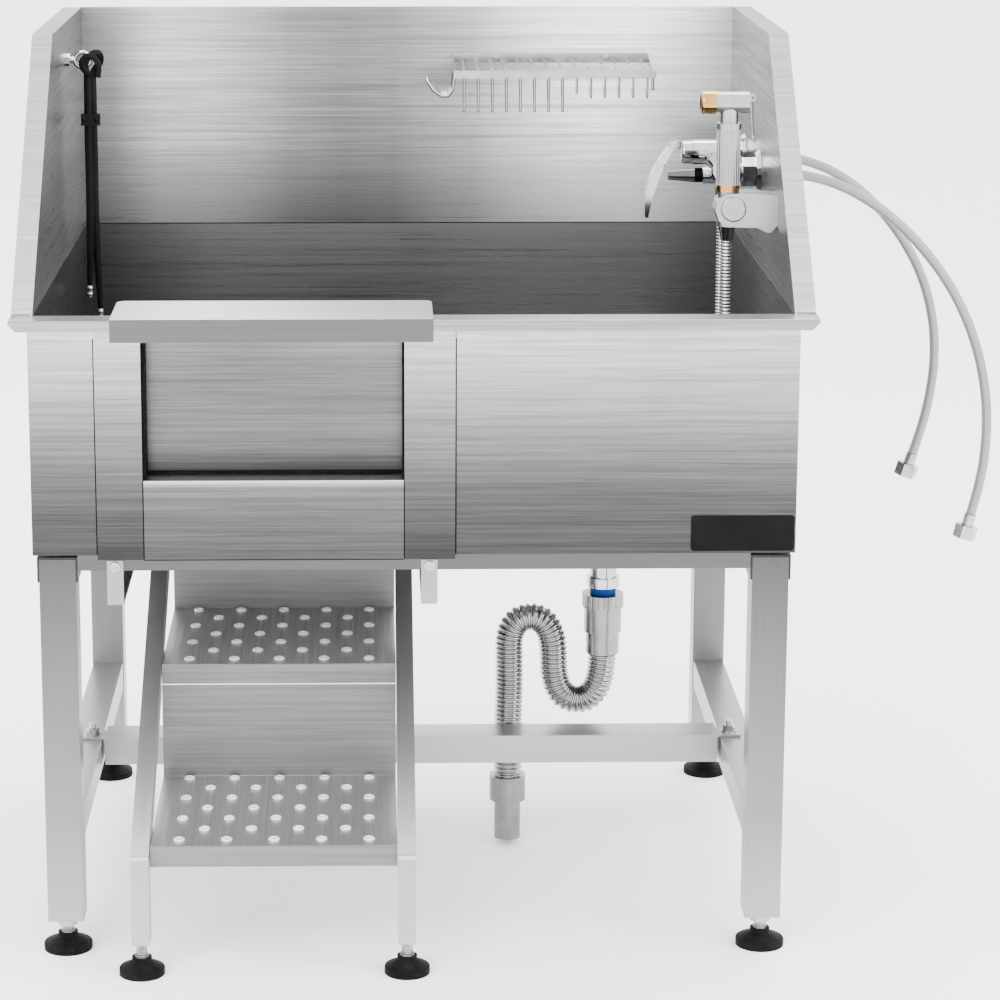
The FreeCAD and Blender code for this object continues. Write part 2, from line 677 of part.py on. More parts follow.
def guide_channels():
    """The two channels that the ladder's rollers run in."""
    left = guide_channel(STRINGER_LEFT - 24, 1)
    right = guide_channel(STRINGER_RIGHT + STRINGER + 24, -1)
    return Part.makeCompound([left, right])


def pan_screw(seat, out, radius):
    """Pan-head screw with a cross recess. Its shank is left to the threads that hold it."""
    head = rod(seat, seat + out * 2.6, radius)
    head = head.makeFillet(1.2, [e for e in head.Edges if len(e.Vertexes) == 1
                                 and (e.Vertexes[0].Point - seat).dot(out) > 1])
    arm, half = radius * 0.6, radius * 0.13
    top = seat + out * 3.0
    slots = [box(top.x - arm, top.x + arm, top.y - 1.6, top.y + 1.6, top.z - half, top.z + half),
             box(top.x - half, top.x + half, top.y - 1.6, top.y + 1.6, top.z - arm, top.z + arm)]
    return head.cut(slots)


def pan_screws():
    """Screws of the guide channels' tabs and of the rack's strip."""
    made = []
    front = LEG_FRONT - CHANNEL_PLATE
    back = LEG_REAR + LEG + CHANNEL_PLATE
    for x in (STRINGER_LEFT - 24 + CHANNEL_WIDE / 2, STRINGER_RIGHT + STRINGER + 24 - CHANNEL_WIDE / 2):
        made.append(pan_screw(V(x, front, RAIL_TOP - 10), V(0, -1, 0), 6))
        made.append(pan_screw(V(x, back, RAIL_TOP - 10), V(0, 1, 0), 6))
    for x in RACK_SCREW_X:
        made.append(pan_screw(V(x, BASIN_BACK - SHEET, RACK_Z + 7), V(0, -1, 0), 4))
    return Part.makeCompound(made)


# Taps on the right wall

def mixer_body():
    """Barrel between the two inlets, with bosses for the cartridge, the spout and the hose."""
    barrel = rod(V(MIXER_X, INLET_Y[0] - 16, INLET_Z), V(MIXER_X, INLET_Y[1] + 16, INLET_Z), MIXER_RADIUS)
    barrel = barrel.makeFillet(5, [e for e in barrel.Edges if len(e.Vertexes) == 1])
    stubs = [rod(V(MIXER_X, y, INLET_Z), V(398, y, INLET_Z), 11) for y in INLET_Y]
    boss = rod(V(MIXER_X, CARTRIDGE_Y, CARTRIDGE_Z), V(338, CARTRIDGE_Y, CARTRIDGE_Z), 15)
    journal = rod(V(340, CARTRIDGE_Y, CARTRIDGE_Z), V(330, CARTRIDGE_Y, CARTRIDGE_Z), 6)
    spout_boss = rod(V(MIXER_X, SPOUT_Y, SPOUT_Z), V(347, SPOUT_Y, SPOUT_Z), 10)
    outlet = rod(V(375, CARTRIDGE_Y, INLET_Z), V(375, CARTRIDGE_Y, 800), 8)
    return fused([barrel, boss, journal, spout_boss, outlet] + stubs)


def mixer_unions():
    """Union nuts, wall discs, threaded nipples, outside locknuts and the two hose cones."""
    made = []
    for y in INLET_Y:
        axis_from, axis_to = V(300, y, INLET_Z), V(500, y, INLET_Z)
        nut = hexagon(V(389, y, INLET_Z), V(404, y, INLET_Z), 30)
        made.append(nut.cut(rod(axis_from, V(398, y, INLET_Z), 11 + FIT)).cut(rod(axis_from, axis_to, 9.56)))
        disc = taper(V(404.3, y, INLET_Z), V(BASIN_HALF, y, INLET_Z), 22, 27)
        made.append(disc.cut(rod(axis_from, axis_to, 9.56)))
        made.append(ring(V(398, y, INLET_Z), V(432, y, INLET_Z), 9.5, 6.5))
        locknut = hexagon(V(BASIN_HALF + SHEET, y, INLET_Z), V(BASIN_HALF + 10, y, INLET_Z), 30)
        made.append(locknut.cut(rod(axis_from, axis_to, 9.56)))
    made.append(taper(V(375, CARTRIDGE_Y, 784), V(375, CARTRIDGE_Y, 800), 7, 9.5))
    made.append(taper(V(HANDSET_X, HANDSET_Y, 774), V(HANDSET_X, HANDSET_Y, HOLDER_BOTTOM - 0.5), 7, 9.5))
    return Part.makeCompound(made)


def lever_hub():
    """Cap that turns on the cartridge, with an ear for the lever's pin."""
    cap = rod(V(337.6, CARTRIDGE_Y, CARTRIDGE_Z), V(325, CARTRIDGE_Y, CARTRIDGE_Z), 14)
    cap = cap.makeFillet(3, [e for e in cap.Edges if len(e.Vertexes) == 1 and e.Vertexes[0].Point.x < 330])
    ear = box(312, 328, CARTRIDGE_Y - 4, CARTRIDGE_Y + 4, CARTRIDGE_Z + 4, CARTRIDGE_Z + 13)
    bore = rod(V(338, CARTRIDGE_Y, CARTRIDGE_Z), V(329.5, CARTRIDGE_Y, CARTRIDGE_Z), 6 + FIT)
    pin_hole = rod(V(317, 0, LEVER_Z), V(317, 200, LEVER_Z), 2 + FIT)
    return fused([cap, ear]).cut(bore).cut(pin_hole)


def mixer_lever():
    """Crescent handle with two cheeks and a pin."""
    top, tip = V(319, 0, LEVER_Z + 6), V(282, 0, 764)
    outer = Part.Arc(top, V(292, 0, 822), tip).toShape()
    low = Part.LineSegment(tip, V(286, 0, 764)).toShape()
    inner = Part.Arc(V(286, 0, 764), V(301, 0, 818), V(315, 0, LEVER_Z - 5)).toShape()
    close = Part.LineSegment(V(315, 0, LEVER_Z - 5), top).toShape()
    face = Part.Face(Part.Wire([outer, low, inner, close]))
    y0, y1 = CARTRIDGE_Y - 10, CARTRIDGE_Y + 10
    handle = face.extrude(V(0, y1 - y0, 0))
    handle.translate(V(0, y0, 0))
    slot = box(311, 330, CARTRIDGE_Y - 4.5, CARTRIDGE_Y + 4.5, LEVER_Z - 20, LEVER_Z + 20)
    cheeks = [rod(V(317, y, LEVER_Z), V(317, y + 5.5, LEVER_Z), 5) for y in (y0, y1 - 5.5)]
    pin = rod(V(317, y0, LEVER_Z), V(317, y1, LEVER_Z), 2)
    return fused([handle.cut(slot)] + cheeks + [pin])


def tub_spout():
    """Short coned spout on a spindle that its collar turns on."""
    cone = taper(V(337, SPOUT_Y, SPOUT_Z), V(306, SPOUT_Y, SPOUT_Z), 8.5, 5.5)
    spindle = rod(V(347, SPOUT_Y, SPOUT_Z), V(330, SPOUT_Y, SPOUT_Z), 5)
    bore = rod(V(306, SPOUT_Y, SPOUT_Z), V(326, SPOUT_Y, SPOUT_Z), 3.5)
    return fused([cone, spindle]).cut(bore)


def spout_collar():
    """Ribbed ring that sends the water to the spout or to the hose."""
    collar = ring(V(346.6, SPOUT_Y, SPOUT_Z), V(337.4, SPOUT_Y, SPOUT_Z), 9, 5 + FIT)
    ribs = []
    for k in range(24):
        angle = k * math.pi / 12
        y, z = SPOUT_Y + 9.2 * math.cos(angle), SPOUT_Z + 9.2 * math.sin(angle)
        ribs.append(rod(V(340, y, z), V(346.7, y, z), 0.6))
    return collar.cut(ribs)


def handset_holder():
    """Bracket on the wall with an upright bore, and a round cap on its front."""
    y0, y1 = HANDSET_Y - 18, HANDSET_Y + 18
    outline = [(BASIN_HALF, HOLDER_BOTTOM + 2), (BASIN_HALF, HOLDER_TOP - 3), (380, HOLDER_TOP),
               (349, HOLDER_TOP - 1), (341, HOLDER_TOP - 10), (339, HOLDER_TOP - 20),
               (343, HOLDER_BOTTOM + 8), (352, HOLDER_BOTTOM + 1), (385, HOLDER_BOTTOM)]
    block = prism(outline, "y", y0, y1)
    bore = rod(V(HANDSET_X, HANDSET_Y, 700), V(HANDSET_X, HANDSET_Y, 900), 11 + FIT)
    foot = prism([(BASIN_HALF, HOLDER_BOTTOM + 2), (385, HOLDER_BOTTOM), (398, HOLDER_BOTTOM - 6),
                  (402, HOLDER_BOTTOM - 6)], "y", y0 + 4, y1 - 4)
    cap = rod(V(359, y0 - 4, 811), V(359, y0, 811), 14)
    cap = cap.makeFillet(2, [e for e in cap.Edges if len(e.Vertexes) == 1 and e.Vertexes[0].Point.y < y0 - 3])
    return Part.makeCompound([fused([block, foot]).cut(bore), cap])


def handset_handle():
    """Fluted grip with a plain shank that stands in the holder."""
    at = V(HANDSET_X, HANDSET_Y, 0)
    shank = rod(at + V(0, 0, HOLDER_BOTTOM), at + V(0, 0, HOLDER_TOP + 8), 11)
    grip = rod(at + V(0, 0, 836.5), at + V(0, 0, 900), 13.5)
    shoulder = rod(at + V(0, 0, 900), at + V(0, 0, 906), 14)
    flutes = []
    for k in range(24):
        angle = k * math.pi / 12
        x, y = HANDSET_X + 13.9 * math.cos(angle), HANDSET_Y + 13.9 * math.sin(angle)
        flutes.append(rod(V(x, y, 836), V(x, y, 899), 1.1))
    return fused([shank, grip.cut(flutes), shoulder])


def handset_head():
    """T-shaped head on its neck, with two ears for the trigger's pin."""
    neck = rod(V(HANDSET_X, HANDSET_Y, 906), V(HANDSET_X, HANDSET_Y, HEAD_Z), 10)
    barrel = rod(V(339, HANDSET_Y, HEAD_Z), V(376, HANDSET_Y, HEAD_Z), 12)
    ears = [box(372, 382, HANDSET_Y + y, HANDSET_Y + y + 1.7, HEAD_Z + 2, HEAD_Z + 10) for y in (-8, 6.3)]
    hole = rod(V(379, HANDSET_Y - 9, HEAD_Z + 6), V(379, HANDSET_Y + 9, HEAD_Z + 6), 1.5 + FIT)
    return fused([neck, barrel] + ears).cut(hole)


def handset_rings():
    """Rounded nozzle ring at the head's open end and the ring at the foot of the grip."""
    nozzle = ring(V(322, HANDSET_Y, HEAD_Z), V(339, HANDSET_Y, HEAD_Z), 13, 9)
    nozzle = nozzle.makeFillet(3.5, [e for e in nozzle.Edges if len(e.Vertexes) == 1
                                     and abs(e.Vertexes[0].Point.x - 322) < 0.1
                                     and (e.Vertexes[0].Point - V(322, HANDSET_Y, HEAD_Z)).Length > 12])
    face = rod(V(326, HANDSET_Y, HEAD_Z), V(339, HANDSET_Y, HEAD_Z), 9)
    pores = [rod(V(320, HANDSET_Y + r * math.cos(a), HEAD_Z + r * math.sin(a)),
                 V(330, HANDSET_Y + r * math.cos(a), HEAD_Z + r * math.sin(a)), 0.8)
             for r, count in ((3, 6), (6.5, 12)) for a in [k * 2 * math.pi / count for k in range(count)]]
    foot = ring(V(HANDSET_X, HANDSET_Y, HOLDER_TOP + 0.3), V(HANDSET_X, HANDSET_Y, 836.5), 13, 11)
    return Part.makeCompound([fused([nozzle, face]).cut(pores), foot])


def handset_trigger():
    """Thin lever hung behind the handle on its own pin."""
    y0, y1 = HANDSET_Y - 5.8, HANDSET_Y + 5.8
    eye = rod(V(379, y0, HEAD_Z + 6), V(379, y1, HEAD_Z + 6), 2.8)
    pin = rod(V(379, HANDSET_Y - 8, HEAD_Z + 6), V(379, HANDSET_Y + 8, HEAD_Z + 6), 1.5)
    blade = prism([(377.8, HEAD_Z + 5), (380.2, HEAD_Z + 5), (381.2, 905), (383.5, 885), (381.8, 885),
                   (379.4, 905)], "y", y0, y1)
    return fused([eye, pin, blade])


# Hoses

SHOWER_ROUTE = [V(354, -103, 774), V(354, -103, 722), V(355, -107, 668), V(357, -112, 614),
                V(361, -119, 566), V(362, -133, 526), V(353, -157, 500), V(331, -186, 487),
                V(296, -212, 485), V(252, -226, 485), V(203, -226, 485), V(156, -210, 485),
                V(120, -178, 485), V(103, -134, 485), V(112, -90, 485), V(143, -56, 485),
                V(188, -38, 485), V(236, -33, 485), V(282, -28, 486), V(321, -8, 493),
                V(346, 24, 511), V(360, 60, 541), V(368, 92, 581), V(372, 115, 629), V(374, 129, 682),
                V(375, 136, 735), V(375, 136, 784)]
SUPPLY_FRONT_ROUTE = [V(432, 61, 828), V(469, 61, 824), V(512, 61, 810), V(554, 60, 785),
                      V(592, 60, 752), V(627, 59, 711), V(656, 59, 663), V(676, 58, 611),
                      V(687, 57, 557), V(689, 57, 503), V(683, 56, 452), V(673, 56, 414)]
SUPPLY_REAR_ROUTE = [V(432, 211, 828), V(466, 211, 826), V(505, 211, 815), V(541, 211, 795),
                     V(575, 212, 765), V(606, 213, 727), V(632, 214, 681), V(648, 215, 629),
                     V(653, 216, 575), V(648, 217, 523), V(638, 217, 480), V(629, 217, 452)]
DRAIN_ROUTE = [V(DRAIN_X, DRAIN_Y, 243), V(DRAIN_X, DRAIN_Y, 183), V(173, DRAIN_Y, 183),
               V(173, DRAIN_Y, 287), V(TAIL_X, DRAIN_Y, 287), V(TAIL_X + 2, DRAIN_Y, 212),
               V(TAIL_X, DRAIN_Y, 146), V(TAIL_X, DRAIN_Y, 88)]
STRAP_LEFT_ROUTE = [V(-383, 144.5, 938), V(-384, 144.5, 860), V(-383, 144.5, 770), V(-386, 144.5, 681)]
STRAP_RIGHT_ROUTE = [V(-378, 147.5, 938), V(-377.5, 147.5, 850), V(-378.5, 147.5, 752),
                     V(-374, 147.5, 652)]


def hose_nut(route):
    """Crimped ferrule and the hexagonal union nut at the free end of a supply hose."""
    along = route[-1] - route[-2]
    along.normalize()
    start = route[-1]
    ferrule = rod(start, start + along * 14, 7.2)
    nut = hexagon(start + along * 14, start + along * 30, 24)
    bore = rod(start + along * 18, start + along * 31, NUT_BORE)
    print("nut mouth", start + along * 30, "axis", along)
    return Part.makeCompound([ferrule, nut.cut(bore)])


# Rack

def bent_wire(points, radius):
    """Round wire through several points, with a ball at each bend and at its tip."""
    rods = [rod(a, b, radius) for a, b in zip(points, points[1:])]
    balls = [Part.makeSphere(radius, p) for p in points[1:]]
    return rods + balls


def tool_rack():
    """Strip frame with cross wires, rows of V hooks under it and curved prongs at one end."""
    back = BASIN_BACK
    front = back - RACK_DEEP
    strip = box(RACK_LEFT - 2, RACK_RIGHT - 4, back - SHEET, back, RACK_Z + 1, RACK_Z + 13)
    bar = box(RACK_LEFT, RACK_RIGHT, front, front + 2.5, RACK_Z - 10, RACK_Z)
    left = prism([(front, RACK_Z - 10), (front, RACK_Z), (back, RACK_Z + 13), (back, RACK_Z + 1)],
                 "x", RACK_LEFT - 2, RACK_LEFT)
    right = prism([(front, RACK_Z - 10), (front, RACK_Z), (back, RACK_Z + 13), (back, RACK_Z + 1)],
                  "x", RACK_RIGHT - 4, RACK_RIGHT - 2)
    pieces = [strip, bar, left, right]
    half = WIRE / 2
    pitch = 17.4
    for k in range(14):
        x = RACK_LEFT + 11 + k * pitch
        rise = V(x, back - 1, RACK_Z + 3), V(x, front + 2.5 + half, RACK_Z - 5)
        pieces += bent_wire(list(rise), half * 0.8)
        if k < 8:
            low, deep = RACK_Z - 50, 26
        elif k == 8:
            low, deep = RACK_Z - 27, 0
        else:
            low, deep = RACK_Z - 33, 52
        hook = [V(x, front + 1, RACK_Z - 8), V(x, front + 1, low)]
        if deep:
            hook.append(V(x, front + 2.5 + deep, RACK_Z - 4 + deep * 0.09))
        pieces += bent_wire(hook, half * 0.8)
    for k in range(4):
        y = front + 8 + k * 14
        prong = [V(RACK_LEFT - 1, y, RACK_Z - 6), V(RACK_LEFT - 3, y, RACK_Z - 24),
                 V(RACK_LEFT - 9, y, RACK_Z - 32), V(RACK_LEFT - 17, y, RACK_Z - 32),
                 V(RACK_LEFT - 27, y, RACK_Z - 25), V(RACK_LEFT - 34, y, RACK_Z - 14)]
        pieces += bent_wire(prong, half)
    prong = V(RACK_RIGHT - 3, front + 12, RACK_Z - 5)
    pieces += bent_wire([prong, prong - V(0, 0, 19)],
                        half)
    holes = [rod(V(x, back - 10, RACK_Z + 7), V(x, back + 10, RACK_Z + 7), 1.9) for x in RACK_SCREW_X]
    return pieces[0].multiFuse(pieces[1:]).cut(holes)


# Lead

def eye_bolt():
    """Threaded eye through the left wall, with a nut on each side."""
    loop = Part.makeTorus(9, 2.5, V(LEAD_X - 10, LEAD_Y, EYE_Z), V(0, 1, 0))
    shank = rod(V(-BASIN_HALF - 14, LEAD_Y, EYE_Z), V(LEAD_X - 19, LEAD_Y, EYE_Z), 4)
    inner = hexagon(V(-BASIN_HALF, LEAD_Y, EYE_Z), V(-BASIN_HALF + 5, LEAD_Y, EYE_Z), 13)
    outer = hexagon(V(-BASIN_HALF - SHEET - 6, LEAD_Y, EYE_Z), V(-BASIN_HALF - SHEET, LEAD_Y, EYE_Z), 13)
    return fused([loop, shank, inner, outer])


def lead_slider():
    """Keeper with a slot for both straps and two rivets."""
    block = box(-392, -369.5, 140.8, 151.2, SLIDER_Z - 7, SLIDER_Z + 7)
    slot = box(-389.5, -372, 142.8, 149.2, SLIDER_Z - 10, SLIDER_Z + 10)
    rivets = [Part.makeSphere(2.4, V(x, 140.8, SLIDER_Z)) for x in (-388, -374)]
    return fused([block] + rivets).cut(slot)


def lead_beads():
    """Two steel balls below the end of each strap."""
    made = []
    for end in (STRAP_LEFT_ROUTE[-1], STRAP_RIGHT_ROUTE[-1]):
        upper = Part.makeSphere(BEAD_RADIUS, end - V(0, 0, BEAD_RADIUS))
        lower = Part.makeSphere(BEAD_RADIUS, end - V(0, 0, 11.6))
        made.append(fused([upper, lower]))
    return Part.makeCompound(made)


# Drain

def drain_body():
    """Flanged cup in the basin's floor with its tail tube and end ring."""
    at = V(DRAIN_X, DRAIN_Y, 0)
    flange = rod(at + V(0, 0, BASIN_FLOOR), at + V(0, 0, BASIN_FLOOR + 2), 44)
    cup = rod(at + V(0, 0, 440), at + V(0, 0, BASIN_FLOOR + 1), 33.5)
    locknut = hexagon(at + V(0, 0, BASIN_FLOOR - SHEET - 9), at + V(0, 0, BASIN_FLOOR - SHEET), 78)
    funnel = taper(at + V(0, 0, 420), at + V(0, 0, 440), 17, 33.5)
    tail = rod(at + V(0, 0, 326), at + V(0, 0, 425), 16)
    end = rod(at + V(0, 0, 326), at + V(0, 0, 338), 19.5)
    hollow = rod(at + V(0, 0, 445), at + V(0, 0, BASIN_FLOOR + 3), 31)
    bore = rod(at + V(0, 0, 320), at + V(0, 0, 450), 13)
    return fused([flange, cup, locknut, funnel, tail, end]).cut(hollow).cut(bore)


def strainer_basket():
    """Perforated cup that lifts out of the drain by its knob."""
    at = V(DRAIN_X, DRAIN_Y, 0)
    cup = rod(at + V(0, 0, 452), at + V(0, 0, BASIN_FLOOR + 2.2), 30)
    rim = rod(at + V(0, 0, BASIN_FLOOR + 2.2), at + V(0, 0, BASIN_FLOOR + 3.7), 36)
    inside = rod(at + V(0, 0, 453.5), at + V(0, 0, BASIN_FLOOR + 4), 28.5)
    post = rod(at + V(0, 0, 452), at + V(0, 0, BASIN_FLOOR + 6), 2.5)
    knob = Part.makeSphere(6, at + V(0, 0, BASIN_FLOOR + 8))
    holes = []
    for radius, count in ((10, 8), (18, 14), (25, 20)):
        for k in range(count):
            a = 2 * math.pi * k / count
            centre = at + V(radius * math.cos(a), radius * math.sin(a), 0)
            holes.append(rod(centre + V(0, 0, 451), centre + V(0, 0, 455), 2))
    return fused([fused([cup, rim]).cut(inside), post, knob]).cut(holes)


def drain_seal():
    """Soft washer between the tail tube and the slip nut."""
    return ring(V(DRAIN_X, DRAIN_Y, 317), V(DRAIN_X, DRAIN_Y, 326), 15.5, 13)


def slip_nut():
    """Ribbed nut and the stepped adaptor that the corrugated hose is moulded to."""
    at = V(DRAIN_X, DRAIN_Y, 0)
    nut = rod(at + V(0, 0, 301), at + V(0, 0, 317), 25)
    body = rod(at + V(0, 0, 270), at + V(0, 0, 301), 22.5)
    step_down = rod(at + V(0, 0, 243), at + V(0, 0, 270), 20)
    bore = rod(at + V(0, 0, 240), at + V(0, 0, 320), 13)
    grips = []
    for k in range(20):
        a = 2 * math.pi * k / 20
        edge = at + V(25.6 * math.cos(a), 25.6 * math.sin(a), 0)
        grips.append(rod(edge + V(0, 0, 303), edge + V(0, 0, 318), 1.4))
    return fused([nut, body, step_down]).cut([bore] + grips)


def tail_pipe():
    """Collar at the end of the corrugated hose, and the plain pipe that goes to the floor drain."""
    at = V(TAIL_X, DRAIN_Y, 0)
    collar = ring(at + V(0, 0, TAIL_TOP), at + V(0, 0, TAIL_TOP + 31), 22, TAIL_RADIUS - 1)
    pipe = ring(at + V(0, 0, TAIL_BOTTOM), at + V(0, 0, TAIL_TOP), TAIL_RADIUS, TAIL_BORE)
    neck = ring(at + V(0, 0, TAIL_TOP), at + V(0, 0, TAIL_TOP + 13), TAIL_RADIUS - 1, TAIL_BORE)
    return Part.makeCompound([collar, pipe.fuse(neck)])


# Every sub-part, one file each

NODES = {
    "tub_basin": tub_basin(),
    "front_aprons": front_aprons(),
    "badge": badge(),
    "door_posts": door_posts(),
    "door_sill": door_sill(),
    "door_guides": door_guides(),
    "door_panel": door_panel(),
    "door_inner_panel": door_inner_panel(),
    "door_cap": door_cap(),
    "left_splash": left_splash(),
    "right_splash": right_splash(),
    "back_splash": back_splash(),
    "legs": legs(),
    "leg_sockets": leg_sockets(),
    "top_rails": top_rails(),
    "lower_side_rails": lower_side_rails(),
    "cross_rail": cross_rail(),
    "hex_bolts": hex_bolts(),
    "ladder_stringer_left": stringer(STRINGER_LEFT, -1),
    "ladder_stringer_right": stringer(STRINGER_RIGHT, 1),
    "lower_step": lower_step(),
    "upper_step": upper_step(),
    "top_riser": top_riser(),
    "ladder_rollers": ladder_rollers(),
    "ladder_foot_left": ladder_foot(STRINGER_LEFT),
    "ladder_foot_right": ladder_foot(STRINGER_RIGHT),
    "guide_channels": guide_channels(),
    "pan_screws": pan_screws(),
    "mixer_body": mixer_body(),
    "mixer_unions": mixer_unions(),
    "lever_hub": lever_hub(),
    "mixer_lever": mixer_lever(),
    "tub_spout": tub_spout(),
    "spout_collar": spout_collar(),
    "handset_holder": handset_holder(),
    "handset_handle": handset_handle(),
    "handset_head": handset_head(),
    "handset_rings": handset_rings(),
    "handset_trigger": handset_trigger(),
    "shower_hose": cord_tube(SHOWER_ROUTE, SHOWER_DIAMETER, "shower_hose"),
    "supply_hose_front": cord_tube(SUPPLY_FRONT_ROUTE, SUPPLY_DIAMETER, "supply_hose_front"),
    "supply_hose_rear": cord_tube(SUPPLY_REAR_ROUTE, SUPPLY_DIAMETER, "supply_hose_rear"),
    "hose_nut_front": hose_nut(SUPPLY_FRONT_ROUTE),
    "hose_nut_rear": hose_nut(SUPPLY_REAR_ROUTE),
    "tool_rack": tool_rack(),
    "eye_bolt": eye_bolt(),
    "lead_strap_left": strap_tube(STRAP_LEFT_ROUTE, 9, 2, "lead_strap_left"),
    "lead_strap_right": strap_tube(STRAP_RIGHT_ROUTE, 9, 2, "lead_strap_right"),
    "lead_slider": lead_slider(),
    "lead_beads": lead_beads(),
    "drain_body": drain_body(),
    "strainer_basket": strainer_basket(),
    "drain_seal": drain_seal(),
    "slip_nut": slip_nut(),
    "drain_hose": cord_tube(DRAIN_ROUTE, DRAIN_DIAMETER, "drain_hose"),
    "tail_pipe": tail_pipe(),
}

for corner, (leg_x, leg_y) in LEG_CORNERS.items():
    NODES["foot_" + corner] = levelling_foot(leg_x + LEG / 2, leg_y + LEG / 2, PAD_RADIUS, LEG_BOTTOM + 35)

for node, solid in NODES.items():
    save(node, solid)
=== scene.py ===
# %% [markdown]
# A dog bath in sheet steel, dressed for a picture. The measured model comes in first
# as a fixed frame: its parts never move here. What Blender adds is the finish of each
# metal, the hoses and straps at their real length, and the small soft parts.

# %% Load the frame
import math

import bpy
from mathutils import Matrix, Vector


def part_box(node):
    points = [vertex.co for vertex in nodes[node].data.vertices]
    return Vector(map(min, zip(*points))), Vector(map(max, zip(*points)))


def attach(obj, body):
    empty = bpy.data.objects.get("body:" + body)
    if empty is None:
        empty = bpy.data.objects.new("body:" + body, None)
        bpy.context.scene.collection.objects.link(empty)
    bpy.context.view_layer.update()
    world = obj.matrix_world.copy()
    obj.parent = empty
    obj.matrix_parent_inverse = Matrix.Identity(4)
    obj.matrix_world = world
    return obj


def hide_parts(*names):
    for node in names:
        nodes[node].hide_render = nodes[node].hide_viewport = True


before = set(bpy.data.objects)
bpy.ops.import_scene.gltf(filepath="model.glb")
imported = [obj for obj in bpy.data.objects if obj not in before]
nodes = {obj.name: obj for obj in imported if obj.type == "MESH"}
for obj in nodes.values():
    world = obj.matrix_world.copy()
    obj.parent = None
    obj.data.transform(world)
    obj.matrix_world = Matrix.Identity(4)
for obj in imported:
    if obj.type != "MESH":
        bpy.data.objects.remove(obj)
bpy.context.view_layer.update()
bpy.ops.object.select_all(action="DESELECT")

# %% [markdown]
# The camera stands in front of the bath and above it, and looks a little down, so the
# back wall's inner face and the tops of the treads both show. A long lens keeps the
# legs nearly upright. A small shift frames the bath left of the middle, which leaves
# room for the hoses.

# %% Camera
CAMERA_AT = (-0.043, -3.549, 1.328)
CAMERA_PITCH = math.radians(12.08)
CAMERA_YAW = math.radians(0.86)
camera_data = bpy.data.cameras.new("camera")
camera_data.lens = 111.6
camera_data.sensor_width = 36.0
camera_data.shift_x = 0.08
camera_data.shift_y = -0.10
camera = bpy.data.objects.new("camera", camera_data)
bpy.context.scene.collection.objects.link(camera)
camera.location = CAMERA_AT
camera.rotation_euler = (math.pi / 2 - CAMERA_PITCH, 0, -CAMERA_YAW)
bpy.context.scene.camera = camera
print("camera", CAMERA_AT, "lens", camera_data.lens)

# %% [markdown]
# Shader maths reads best as plain sums. This small class holds one socket of a
# material, and adds a Math node for each operator that is used on it. One method,
# node, makes every other kind of node.

# %% Shader maths
class Socket:
    """One output of a material's node tree."""

    def __init__(self, tree, link):
        self.tree = tree
        self.link = link

    def node(self, kind, settings=(), sockets=(), out=0):
        """Add a node: its settings first, then its sockets' values or links."""
        made = self.tree.nodes.new(kind)
        for name, value in dict(settings).items():
            if name == "ramp":
                fill_ramp(made.color_ramp, value)
            else:
                setattr(made, name, value)
        for name, value in dict(sockets).items():
            if isinstance(value, Socket):
                self.tree.links.new(value.link, made.inputs[name])
            else:
                made.inputs[name].default_value = value
        return Socket(self.tree, made.outputs[out])

    def math(self, operation, other=0.0):
        """This value and another, through one Math node."""
        return self.node("ShaderNodeMath", {"operation": operation}, {0: self, 1: other})

    def __add__(self, other):
        return self.math("ADD", other)

    def __sub__(self, other):
        return self.math("SUBTRACT", other)

    def __rsub__(self, other):
        return self.node("ShaderNodeMath", {"operation": "SUBTRACT"}, {0: other, 1: self})

    def __mul__(self, other):
        return self.math("MULTIPLY", other)

    def __truediv__(self, other):
        return self.math("DIVIDE", other)

    def __gt__(self, other):
        return self.math("GREATER_THAN", other)

    def __lt__(self, other):
        return self.math("LESS_THAN", other)

    def step(self, low, high, to_low=0.0, to_high=1.0):
        """Move a range of values smoothly onto another."""
        return self.node("ShaderNodeMapRange", {"interpolation_type": "SMOOTHSTEP"},
                         {"Value": self, "From Min": low, "From Max": high,
                          "To Min": to_low, "To Max": to_high})

    def mix(self, low, high):
        """A number between two others, with this socket as the factor."""
        return self.node("ShaderNodeMix", {"data_type": "FLOAT"}, {0: self, 2: low, 3: high})

    def tint(self, low, high):
        """A colour between two others, with this socket as the factor."""
        return self.node("ShaderNodeMix", {"data_type": "RGBA"}, {0: self, 6: low, 7: high}, 2)


def fill_ramp(ramp, stops):
    """Put the given (place, brightness) stops on a colour ramp."""
    while len(ramp.elements) < len(stops):
        ramp.elements.new(0.5)
    for element, (place, bright) in zip(ramp.elements, stops):
        element.position = place
        element.color = (bright, bright, bright, 1)


